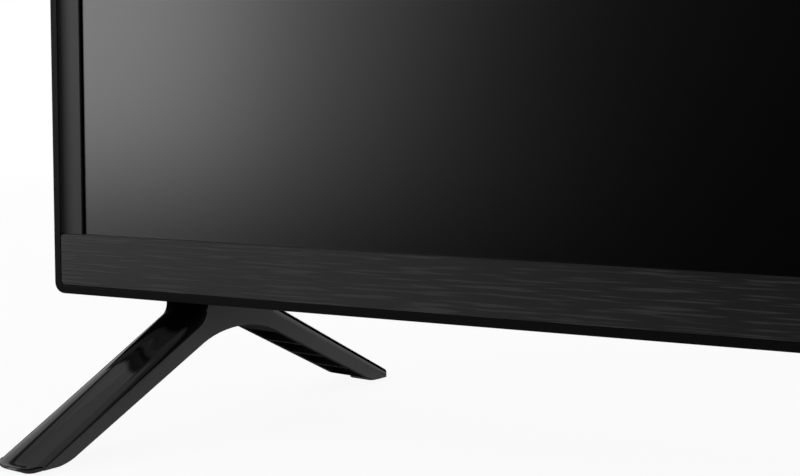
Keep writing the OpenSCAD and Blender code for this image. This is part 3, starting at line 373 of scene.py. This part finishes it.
def buildBezel(b):
    bm = bmesh.new()
    outer = (halfW, 0, fullH, b["corner"])
    rim = (halfW - b["rim"], b["lowRim"], fullH - b["rim"], b["recessCorner"])
    window = (halfW - b["side"], b["foot"], fullH - b["side"], b["windowCorner"])
    inner = (halfW - b["wall"], b["wall"], fullH - b["wall"], b["innerCorner"])
    rings = [
        roundedLoop(bm, *outer, bezelDepth), roundedLoop(bm, *outer, b["rimFall"]),
        roundedLoop(bm, *rim, 0), roundedLoop(bm, *rim, b["recess"]),
        roundedLoop(bm, *window, b["recess"] + b["slope"]), roundedLoop(bm, *window, b["lip"] - b["slope"]),
        roundedLoop(bm, *inner, b["lip"]), roundedLoop(bm, *inner, bezelDepth - b["slope"]),
    ]
    outerEdge, rimEdge = rings[1], rings[2]
    bridgeRings(bm, rings, True)
    roundEdges(bm, outerEdge, b["outerEdge"], 5)
    roundEdges(bm, rimEdge, b["rimEdge"], 2)
    for f in bm.faces:
        onRim = f.calc_center_median().y < frontY + (b["rimFall"] + b["rimShare"]) * mm
        f.material_index = 1 if onRim else 0
    bezelFinishes = [made["bezelPlastic"], made["rimPlastic"]]
    return finishPiece(bm, "frontBezel", bezelFinishes, replaced=["front_bezel"],
                       flatFaces=True)


buildBezel(bezel)

# face of the bezel at the sides and the top: a cove falls from the rim to a flat beside the screen
bezelFace = {
    "gap": 0.04, "back": 2.2, "corner": 1.4, "end": 22.0, "below": 30.0,
    "profile": ((0.0, 0.72), (0.25, 0.92), (0.7, 1.16), (1.2, 1.34), (2.0, 1.54), (3.0, 1.71), (4.0, 1.8),
                (5.0, 1.83), (8.2, 1.83), (8.44, 2.03)),
}


def buildBezelFace(f, b):
    bm = bmesh.new()
    start = b["rim"] + f["gap"]

    def ring(inset, depth):
        x = halfW - start - inset
        return roundedLoop(bm, x, f["end"] - f["below"] + inset, fullH - start - inset,
                           max(f["corner"] - inset, 0.3), depth)

    steps = [(f["profile"][0][0], f["back"]), *f["profile"], (f["profile"][-1][0], f["back"])]
    bridgeRings(bm, [ring(*step) for step in steps], True)
    cutAcross(bm, (0, 0, bottomZ + f["end"] * mm), (0, 0, 1), True)
    bmesh.ops.holes_fill(bm, edges=[e for e in bm.edges if e.is_boundary])
    return finishPiece(bm, "bezelFace", [made["bezelPlastic"]], sharpAngle=30,
                       flatFaces=True)


buildBezelFace(bezelFace, bezel)

# brushed strip under the screen, with the remote control window's opening
trim = {"corner": 1.35, "edge": 0.35, "topEdge": 1.1, "windowGap": 0.1, "windowFlange": 1.0,
        "windowHalf": 1.4, "windowDrop": 0.25}


def buildTrim(t):
    low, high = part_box("bottom_trim")
    windowLow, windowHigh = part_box("remote_window")
    openLow = windowLow.x + t["windowFlange"] * mm - t["windowGap"] * mm
    openHigh = windowHigh.x - t["windowFlange"] * mm + t["windowGap"] * mm
    bm = bmesh.new()
    corners = [bm.verts.new((x, low.y, z)) for x, z in
               ((low.x, low.z), (high.x, low.z), (high.x, high.z), (low.x, high.z))]
    bm.faces.new(corners)
    bmesh.ops.bevel(bm, geom=corners, offset=t["corner"] * mm, segments=5, profile=0.5,
                    affect="VERTICES", material=-1)
    middle = (windowLow.z + windowHigh.z) / 2 - t["windowDrop"] * mm
    half = t["windowHalf"] * mm + t["windowGap"] * mm
    for x in (openLow, openHigh):
        cutAcross(bm, (x, 0, 0), (1, 0, 0))
    for z in (middle - half, middle + half):
        cutAcross(bm, (0, 0, z), (0, 0, 1))
    hole = [f for f in bm.faces if openLow < f.calc_center_median().x < openHigh
            and abs(f.calc_center_median().z - middle) < half]
    bmesh.ops.delete(bm, geom=hole, context="FACES")
    pushFaces(bm, bm.faces[:], (0, high.y - low.y, 0))
    bmesh.ops.recalc_face_normals(bm, faces=bm.faces)

    def frontEdges():
        return [e for e in bm.edges if all(abs(v.co.y - low.y) < 1e-6 for v in e.verts)
                and e.calc_face_angle(0) > 1.0]

    topEdges = [e for e in frontEdges() if all(v.co.z > high.z - 1e-6 for v in e.verts)]
    roundEdges(bm, topEdges, t["topEdge"], 6)
    lowLimit = high.z - t["corner"] * mm
    lowEdges = [e for e in frontEdges() if max(v.co.z for v in e.verts) < lowLimit]
    roundEdges(bm, lowEdges, t["edge"], 2)
    return finishPiece(bm, "bottomTrim", [made["trimBrushed"]], replaced=["bottom_trim"],
                       flatFaces=True)


buildTrim(trim)

# feet: a side outline with rounded neck and arch, made solid, crowned on top and hollowed underneath
foot = {
    "height": 46.8, "reach": 98.0, "width": 21.2, "turn": 11.2, "legDepth": 8.8, "pad": 1.5,
    "neck": 34.0, "neckDrop": 5.1, "neckRound": 4.6, "archRound": 21.3, "heelRound": 4.0,
    "toe": 2.9, "toeFlat": 15.0, "toeRound": 0.7, "toeBow": 6.0, "toeBlend": 14.0,
    "toeCuts": (1.6, 3.2, 5.0, 7.0, 9.0),  # back from the end, so that the bow is smooth
    "wall": 2.5, "ribs": 4, "ribWidth": 1.5, "pocketStart": 24.0, "skin": 2.5,
    "edge": 0.3, "edgeFall": (2.2, 3.4), "thin": 0.9, "crownSteps": 22,
    # crown across each leg, from its inner side out, and how it shrinks from neck to toe
    "crownFront": {"innerWidth": 2.6, "innerRise": 3.3, "tilt": 0.1, "lipStart": 7.5, "lipWidth": 3.5,
                   "lipRise": 0.3, "outerWidth": 10.7, "outerFall": 7.6, "taper": (1.3, 0.45)},
    "crownRear": {"innerWidth": 5.0, "innerRise": 5.0, "tilt": 0.07, "lipStart": 8.5, "lipWidth": 6.0,
                  "lipRise": 0.0, "outerWidth": 11.2, "outerFall": 6.0, "taper": (0.83, 0.65)},
}


def footPlace(node, turn):
    low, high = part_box(node)
    middle = Matrix.Translation(((low.x + high.x) / 2, (low.y + high.y) / 2, 0))
    return middle @ Matrix.Rotation(math.radians(turn), 4, "Z")


def footOutline(bm, p):
    neckHalf = p["neck"] / 2
    neckLow = p["height"] - p["neckDrop"]
    slope = (neckLow - p["toe"]) / (p["reach"] - neckHalf)
    apex = neckLow + slope * neckHalf - p["legDepth"]
    heel = p["reach"] - p["toeFlat"]
    half = [(neckHalf, p["height"]), (neckHalf, neckLow), (p["reach"], p["toe"]), (p["reach"], p["pad"]),
            (heel, p["pad"])]
    points = half + [(0, apex)] + [(-u, z) for u, z in reversed(half)]
    verts = [bm.verts.new((-p["width"] / 2 * mm, u * mm, z * mm)) for u, z in points]
    bm.faces.new(verts)
    count = len(verts)
    rounds = [((1, count - 2), p["neckRound"], 8), ((5,), p["archRound"], 12),
              ((2, count - 3), p["toeRound"], 4), ((4, count - 5), p["heelRound"], 6)]
    for places, offset, steps in rounds:
        bmesh.ops.bevel(bm, geom=[verts[i] for i in places], offset=offset * mm, segments=steps, profile=0.5,
                        affect="VERTICES", material=-1)
    return slope, (apex - p["pad"]) / heel


def crownHeight(crown, width, fromInner):
    inner = 1 - min(max(fromInner, 0) / crown["innerWidth"], 1)
    outer = min(max(fromInner - width + crown["outerWidth"], 0) / crown["outerWidth"], 1)
    lip = min(max((fromInner - crown["lipStart"]) / crown["lipWidth"], 0), 1)
    rise = crown["innerRise"] * math.sqrt(1 - inner ** 2) + crown["tilt"] * fromInner
    rise += crown["lipRise"] * lip * lip * (3 - 2 * lip)
    return rise - crown["outerFall"] * (1 - math.sqrt(1 - outer ** 2))


def buildFoot(p, side, name, node):
    bm = bmesh.new()
    slope, underSlope = footOutline(bm, p)
    halfWide = p["width"] / 2 * mm
    neckTop = (p["height"] - 0.01) * mm  # just under the neck's top, and just above the sole
    soleTop = (p["pad"] + 0.01) * mm
    inward = -side  # the foot's inner side faces the middle of the set
    pushFaces(bm, bm.faces[:], (p["width"] * mm, 0, 0))
    bmesh.ops.recalc_face_normals(bm, faces=bm.faces)
    # cuts along the foot where the ribs and walls of the hollow start and end
    heel = p["reach"] - p["toeFlat"]
    pitch = (heel - p["pocketStart"]) / p["ribs"]
    pockets = [(p["pocketStart"] + k * pitch, p["pocketStart"] + (k + 1) * pitch - p["ribWidth"])
               for k in range(p["ribs"])]
    for end in (-1, 1):
        for u in [u for pocket in pockets for u in pocket] + [p["reach"] - s for s in p["toeCuts"]]:
            cutAcross(bm, (0, end * u * mm, 0), (0, 1, 0))
    across = [p["width"] / 2 * (1 - math.cos(math.pi * k / p["crownSteps"]))
              for k in range(1, p["crownSteps"])]
    for fromInner in across + [p["wall"], p["width"] - p["wall"]]:
        cutAcross(bm, (inward * (halfWide - fromInner * mm), 0, 0), (1, 0, 0))
    bmesh.ops.recalc_face_normals(bm, faces=bm.faces)
    # gloss on the upper faces, satin at the sides; underneath, in the hollow and on the neck's top under the
    # casing, a darker, duller copy of the same plastic as painted shade
    bm.faces.ensure_lookup_table()
    upper = [f for f in bm.faces if abs(f.normal.x) < 0.5 and f.normal.z > -0.01
             and f.calc_center_median().z < neckTop
             and (f.normal.z > 0.02 or abs(f.calc_center_median().y) < p["neck"] * mm
                  or abs(f.calc_center_median().y) > (p["reach"] - 2) * mm)]
    upperSet = set(upper)
    for f in bm.faces:
        f.material_index = 0 if f in upperSet else 1 if abs(f.normal.x) > 0.5 else 2
    facings = {}
    for v in {v for f in upper for v in f.verts}:
        facing = sum((f.normal for f in v.link_faces if f in upperSet), Vector())
        facing.x = 0
        facings[v] = facing.normalized()
    # the toes' ends are bowed, with their tops still on the slope
    bowRadius = (p["width"] ** 2 / 4 + p["toeBow"] ** 2) / (2 * p["toeBow"])
    for v in bm.verts:
        blend = (abs(v.co.y) / mm - (p["reach"] - p["toeBlend"])) / p["toeBlend"]
        if blend > 0:
            back = (bowRadius - math.sqrt(bowRadius ** 2 - (v.co.x / mm) ** 2)) * blend ** 1.5 * mm
            v.co.y -= math.copysign(back, v.co.y)
            if v in facings and v.co.z > soleTop:
                v.co.z += slope * back
    flatNormal = math.cos(math.atan(slope))
    for v, facing in facings.items():
        along = abs(v.co.y) / mm
        crown = p["crownFront" if v.co.y < 0 else "crownRear"]
        share = min(max(facing.z / flatNormal, 0), 1)
        if along > p["reach"] / 2:
            facing = Vector((0, 0, 1 / flatNormal))
            share = 1 if v.co.z > soleTop else 0
        if v.co.z > neckTop:
            share = 0  # the neck's top stays flat under the casing
        far = along / p["reach"]
        taper, fall = (start + (end - start) * far for start, end in (crown["taper"], p["edgeFall"]))
        height = crownHeight(crown, p["width"], (halfWide - inward * v.co.x) / mm) * taper - fall
        if along > p["reach"] / 2:
            # the side's edge stops just above the sole
            legTop = p["toe"] + slope * (p["reach"] - along)
            legLow = max(p["pad"] + underSlope * (heel - along), p["pad"])
            height = max(height, -max(legTop - legLow - p["thin"], 0) * flatNormal)
        v.co += facing * height * share * mm
    # hollow with ribs, open underneath
    for end in (-1, 1):
        for near, far in pockets:
            inside = [f for f in bm.faces if f.normal.z < -0.5
                      and near * mm < end * f.calc_center_median().y < far * mm
                      and abs(f.calc_center_median().x) < halfWide - p["wall"] * mm]
            pushFaces(bm, inside, (0, 0, (p["legDepth"] - p["skin"]) * mm))
    outerEdges = [e for e in bm.edges if len(e.link_faces) == 2
                  and {f.material_index for f in e.link_faces} == {0, 1}
                  and all(abs(v.co.x + inward * halfWide) < 1e-6 for v in e.verts)]
    roundEdges(bm, outerEdges, p["edge"], 2)
    bmesh.ops.transform(bm, matrix=footPlace(node, side * p["turn"]), verts=bm.verts)
    footFinishes = [made["footGloss"], made["footSatin"], made["footPaintedShade"]]
    return finishPiece(bm, name, footFinishes, replaced=[node])


buildFoot(foot, -1, "footLeft", "foot_left")
buildFoot(foot, 1, "footRight", "foot_right")


# rubber pads under the toes
pads = {"width": 13.0, "length": 7.3, "height": 1.5, "centre": 91.15, "corner": 2.6, "edge": 0.4}


def buildPads(p, turn):
    bm = bmesh.new()
    bmesh.ops.create_cube(bm, size=1)
    bmesh.ops.scale(bm, vec=(p["width"] * mm, p["length"] * mm, p["height"] * mm), verts=bm.verts)
    upright = [e for e in bm.edges if abs((e.verts[0].co - e.verts[1].co).z) > 1e-6]
    roundEdges(bm, upright, p["corner"], 5)
    roundEdges(bm, [e for e in bm.edges if all(v.co.z < 0 for v in e.verts)], p["edge"], 3)
    places = []
    for side, node in ((-1, "foot_left"), (1, "foot_right")):
        for end in (-1, 1):
            toe = Matrix.Translation((0, end * p["centre"] * mm, p["height"] / 2 * mm))
            places.append(footPlace(node, side * turn) @ toe)
    return repeatPiece(bm, places, "footPads", [made["padRubber"]], ["foot_pads"])


buildPads(pads, foot["turn"])

# rear cover: the frame's own shell with its long outer edges rounded
cover = {"shortest": 60.0, "sharpest": 12.0, "edge": 1.2, "steps": 3, "flatAngle": 0.5, "behindBezel": 2.0}


def buildCover(c):
    bm = bmesh.new()
    bm.from_mesh(nodes["rear_cover"].data)
    bmesh.ops.remove_doubles(bm, verts=bm.verts, dist=0.001 * mm)
    bmesh.ops.dissolve_limit(bm, angle_limit=math.radians(c["flatAngle"]), verts=bm.verts, edges=bm.edges)
    bmesh.ops.recalc_face_normals(bm, faces=bm.faces)
    outer = [e for e in bm.edges if e.is_manifold and e.is_convex and e.calc_length() > c["shortest"] * mm
             and e.calc_face_angle() > math.radians(c["sharpest"])
             and min(v.co.y for v in e.verts) > bezelHigh.y + c["behindBezel"] * mm]
    roundEdges(bm, outer, c["edge"], c["steps"])
    return finishPiece(bm, "rearCover", [made["coverTextured"]], replaced=["rear_cover"],
                       flatFaces=True)


buildCover(cover)

# keys: a dished cap on a flange, with the stem that meets the switch
keys = {"radius": 4.5, "flange": 1.6, "flangeDepth": 1.2, "stemRadius": 2.0, "stem": 2.0, "edge": 0.6,
        "dish": 0.4, "dishRadius": 2.25, "dishEdge": 0.3, "sides": 48}


def buildKey(k, node):
    low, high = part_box(node)
    bm = bmesh.new()
    wide = (k["radius"] + k["flange"]) * mm
    bmesh.ops.create_cone(bm, cap_ends=True, segments=k["sides"], radius1=wide, radius2=wide,
                          depth=k["flangeDepth"] * mm)
    bmesh.ops.rotate(bm, matrix=Matrix.Rotation(math.radians(-90), 3, "X"), verts=bm.verts)
    centreY = low.y + (k["stem"] + k["flangeDepth"] / 2) * mm
    centre = Vector(((low.x + high.x) / 2, centreY, (low.z + high.z) / 2))
    bmesh.ops.translate(bm, vec=centre, verts=bm.verts)
    back = endFace(bm, 1)
    bmesh.ops.inset_region(bm, faces=[back], thickness=k["flange"] * mm, use_even_offset=True)
    capTop = pushFaces(bm, [back], (0, high.y - low.y - (k["stem"] + k["flangeDepth"]) * mm, 0))
    roundEdges(bm, capTop[0].edges, k["edge"], 4)
    top = endFace(bm, 1)
    bmesh.ops.inset_region(bm, faces=[top], thickness=(k["radius"] - k["edge"] - k["dishRadius"]) * mm)
    well = pushFaces(bm, [top], (0, -k["dish"] * mm, 0))
    bmesh.ops.inset_region(bm, faces=well, thickness=k["dishEdge"] * mm)
    front = endFace(bm, -1)
    bmesh.ops.inset_region(bm, faces=[front], thickness=wide - k["stemRadius"] * mm)
    pushFaces(bm, [front], (0, -k["stem"] * mm, 0))
    return finishPiece(bm, node.title().replace("_", ""), [made["keySatin"]], node, [node])


for use in ("power", "menu", "source", "volume_up", "volume_down", "channel_up", "channel_down"):
    buildKey(keys, use + "_key")

# cover screws: a domed head with a cross recess, on its shank
screws = {
    "sides": 32, "headRadius": 2.8, "headDepth": 2.0, "shankRadius": 1.5, "edge": 0.5,
    "slotHalf": 0.42, "slotReach": 1.7, "slotDepth": 1.1,
    "sideHeights": (70.0, 215.3, 380.6), "topPlaces": (-240.0, 0.0, 240.0),
}


def buildScrews(s):
    low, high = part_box("cover_screws")
    headR = s["headRadius"] * mm
    topZ = high.z - headR
    sideX = high.x - headR
    spots = [(x * mm, topZ) for x in s["topPlaces"]]
    spots += [(side * sideX, bottomZ + h * mm) for side in (-1, 1) for h in s["sideHeights"]]
    bm = bmesh.new()
    bmesh.ops.create_cone(bm, cap_ends=True, segments=s["sides"], radius1=headR, radius2=headR,
                          depth=s["headDepth"] * mm)
    bmesh.ops.rotate(bm, matrix=Matrix.Rotation(math.radians(-90), 3, "X"), verts=bm.verts)
    bmesh.ops.translate(bm, vec=(0, high.y - s["headDepth"] / 2 * mm, 0), verts=bm.verts)
    head = endFace(bm, 1)
    roundEdges(bm, head.edges, s["edge"], 4)
    for size in (s["slotHalf"], s["slotReach"]):
        for way in (-1, 1):
            cutFace(bm, 1, (way * size * mm, 0, 0), (1, 0, 0))
            cutFace(bm, 1, (0, 0, way * size * mm), (0, 0, 1))
    half, reach = s["slotHalf"] * mm, s["slotReach"] * mm
    cross = []
    for f in bm.faces:
        c = f.calc_center_median()
        if high.y - c.y < 1e-7 and min(abs(c.x), abs(c.z)) < half and max(abs(c.x), abs(c.z)) < reach:
            cross.append(f)
    pushFaces(bm, cross, (0, -s["slotDepth"] * mm, 0))
    under = endFace(bm, -1)
    bmesh.ops.inset_region(bm, faces=[under], thickness=headR - s["shankRadius"] * mm)
    pushFaces(bm, [under], (0, low.y - (high.y - s["headDepth"] * mm), 0))
    return repeatPiece(bm, [Matrix.Translation((x, 0, z)) for x, z in spots], "coverScrews",
                       [made["screwBlack"]], ["cover_screws"])


buildScrews(screws)


# studio: white surround, pale floor, one soft lamp, and cards that only reflections see

def lightPathMask(tree):
    path = tree.nodes.new("ShaderNodeLightPath")
    seen = addNode(tree, "ShaderNodeMath", {"operation": "MAXIMUM"})
    mirrored = addNode(tree, "ShaderNodeMath", {"operation": "MAXIMUM"})
    tree.links.new(path.outputs["Is Camera Ray"], seen.inputs[0])
    tree.links.new(path.outputs["Is Glossy Ray"], seen.inputs[1])
    tree.links.new(seen.outputs["Value"], mirrored.inputs[0])
    tree.links.new(path.outputs["Is Transmission Ray"], mirrored.inputs[1])
    return mirrored.outputs["Value"]


studio = {
    "skyLight": 0.62, "floorSize": 14.0, "floorDrop": 0.02, "floorTone": 0.9,
    "glowNear": 0.92, "glowFar": 1.0, "fade": (0.5, 2.2),
    "keyPlace": (-1.225, -0.932, 0.431), "keyAim": (-0.35, -0.022, 0.12),
    "keySize": (0.74, 0.94), "keyPower": 9.1,
}


def buildWorld(s):
    world = bpy.data.worlds.new("studioSky")
    scene.world = world
    world.use_nodes = True
    tree = world.node_tree
    tree.nodes.clear()
    output = tree.nodes.new("ShaderNodeOutputWorld")
    soft = addNode(tree, "ShaderNodeBackground", None, {"Color": (1, 1, 1, 1), "Strength": s["skyLight"]})
    white = addNode(tree, "ShaderNodeBackground", None, {"Color": (1, 1, 1, 1), "Strength": 1.0})
    mix = tree.nodes.new("ShaderNodeMixShader")
    tree.links.new(lightPathMask(tree), mix.inputs["Fac"])
    tree.links.new(soft.outputs["Background"], mix.inputs[1])
    tree.links.new(white.outputs["Background"], mix.inputs[2])
    tree.links.new(mix.outputs["Shader"], output.inputs["Surface"])


def buildFloor(s):
    bm = bmesh.new()
    bmesh.ops.create_grid(bm, x_segments=2, y_segments=2, size=s["floorSize"] / 2)
    bmesh.ops.translate(bm, vec=(0, 0, -s["floorDrop"] * mm), verts=bm.verts)
    mesh = bpy.data.meshes.new("studioFloor")
    bm.to_mesh(mesh)
    bm.free()
    floor = bpy.data.objects.new("studioFloor", mesh)
    scene.collection.objects.link(floor)
    material = bpy.data.materials.new("paleFloor")
    material.use_nodes = True
    tree = material.node_tree
    tree.nodes.clear()
    output = tree.nodes.new("ShaderNodeOutputMaterial")
    paint = addNode(tree, "ShaderNodeBsdfDiffuse", None, {"Color": (*grey(s["floorTone"]), 1)})
    glow = addNode(tree, "ShaderNodeEmission", None, {"Color": (1, 1, 1, 1), "Strength": 1.0})
    mix = tree.nodes.new("ShaderNodeMixShader")
    share = addNode(tree, "ShaderNodeMath", {"operation": "MULTIPLY"})
    coords = tree.nodes.new("ShaderNodeTexCoord")
    far = addNode(tree, "ShaderNodeVectorMath", {"operation": "LENGTH"})
    fade = addNode(tree, "ShaderNodeMapRange", {"interpolation_type": "SMOOTHSTEP"},
                   {"From Min": s["fade"][0], "From Max": s["fade"][1],
                    "To Min": s["glowNear"], "To Max": s["glowFar"]})
    tree.links.new(coords.outputs["Object"], far.inputs[0])
    tree.links.new(far.outputs["Value"], fade.inputs["Value"])
    tree.links.new(fade.outputs["Result"], share.inputs[1])
    tree.links.new(lightPathMask(tree), share.inputs[0])
    tree.links.new(share.outputs["Value"], mix.inputs["Fac"])
    tree.links.new(paint.outputs["BSDF"], mix.inputs[1])
    tree.links.new(glow.outputs["Emission"], mix.inputs[2])
    tree.links.new(mix.outputs["Shader"], output.inputs["Surface"])
    mesh.materials.append(material)


def buildLamp(name, place, aim, size, power):
    lamp = bpy.data.lights.new(name, "AREA")
    lamp.shape = "RECTANGLE"
    lamp.size, lamp.size_y = size
    lamp.energy = power
    holder = bpy.data.objects.new(name, lamp)
    scene.collection.objects.link(holder)
    holder.location = place
    holder.rotation_euler = (Vector(aim) - Vector(place)).to_track_quat("-Z", "Y").to_euler()
    holder.visible_camera = False


buildWorld(studio)
buildFloor(studio)
buildLamp("keySoftbox", studio["keyPlace"], studio["keyAim"], studio["keySize"], studio["keyPower"])

# cards that only reflections see: dark in front, below and behind, grey at the left and overhead

def floorCorners(left, right, front, back):
    return [(x, y, 0.0005) for x, y in ((left, front), (right, front), (right, back), (left, back))]


def leftCorners(low, high):
    return [(-2.2, y, z) for y, z in ((0.1, low), (3, low), (3, high), (0.1, high))]


cards = {
    "frontCard": {"corners": ((-1.1, -1.9, 0), (2.4, -1.9, 0), (2.4, -1.9, 1.7), (-0.64, -1.9, 1.4)),
                  "tone": 0.0},
    "floorCard": {"corners": floorCorners(-0.65, 2.4, -1.9, -0.13), "tone": 0.0},
    "floorLeftCard": {"corners": floorCorners(-2, -0.65, -1.9, -0.13), "tone": 0.6},
    "sideFloorCard": {"corners": floorCorners(-2.2, -0.345, -0.13, 3), "tone": 0.0},
    "rearFloorCard": {"corners": floorCorners(-0.345, -0.25, 0.1, 0.5), "tone": 0.0},
    "rearCard": {"corners": ((-1, 2.6, 0), (0.6, 2.6, 0), (0.6, 2.6, 1.2), (-1, 2.6, 1.2)), "tone": 0.0},
    "sideBaseCard": {"corners": leftCorners(0, 0.3), "tone": 0.0},
    "sideLowCard": {"corners": leftCorners(0.3, 1.5), "tone": 0.85},
    "sideDarkCard": {"corners": leftCorners(1.5, 1.9), "tone": 0.12},
    "sideHighCard": {"corners": leftCorners(1.9, 2.6), "tone": 0.62},
    "ceilingCard": {"corners": ((-2.2, -0.3, 2.6), (-0.4, -0.3, 2.6), (-0.4, 3, 2.6), (-2.2, 3, 2.6)),
                    "tone": 0.85},
}


def buildCard(name, card):
    bm = bmesh.new()
    bm.faces.new([bm.verts.new(c) for c in card["corners"]])
    mesh = bpy.data.meshes.new(name)
    bm.to_mesh(mesh)
    bm.free()
    piece = bpy.data.objects.new(name, mesh)
    scene.collection.objects.link(piece)
    material = bpy.data.materials.new(name)
    material.use_nodes = True
    tree = material.node_tree
    tree.nodes.clear()
    output = tree.nodes.new("ShaderNodeOutputMaterial")
    tone = addNode(tree, "ShaderNodeEmission", None, {"Color": (1, 1, 1, 1), "Strength": card["tone"]})
    tree.links.new(tone.outputs["Emission"], output.inputs["Surface"])
    mesh.materials.append(material)
    for ray in ("camera", "diffuse", "transmission", "shadow", "volume_scatter"):
        setattr(piece, "visible_" + ray, False)


for name, card in cards.items():
    buildCard(name, card)

# camera: the photograph's place, turn, tilt and roll
cameraView = {
    "place": (-37.42, -441.44, 122.08), "turnLeft": 24.137, "tiltDown": 6.02, "roll": -0.471,
    "focalPixels": 1400.0, "imageWidth": 800.0, "sensor": 36.0,
}


def buildCamera(v):
    turn, tilt, roll = (math.radians(v[k]) for k in ("turnLeft", "tiltDown", "roll"))
    ahead = Vector((-math.sin(turn) * math.cos(tilt), math.cos(turn) * math.cos(tilt), -math.sin(tilt)))
    right = Vector((math.cos(turn), math.sin(turn), 0))
    down = ahead.cross(right)
    across = math.cos(roll) * right + math.sin(roll) * down
    upward = math.sin(roll) * right - math.cos(roll) * down
    camera = bpy.data.cameras.new("photoCamera")
    camera.sensor_width = v["sensor"]
    camera.lens = v["sensor"] * v["focalPixels"] / v["imageWidth"]
    camera.clip_start = 0.01
    holder = bpy.data.objects.new("photoCamera", camera)
    scene.collection.objects.link(holder)
    turned = Matrix((across, upward, -ahead)).transposed().to_4x4()
    holder.matrix_world = Matrix.Translation(Vector(v["place"]) * mm) @ turned
    scene.camera = holder


buildCamera(cameraView)
print("studio ready")
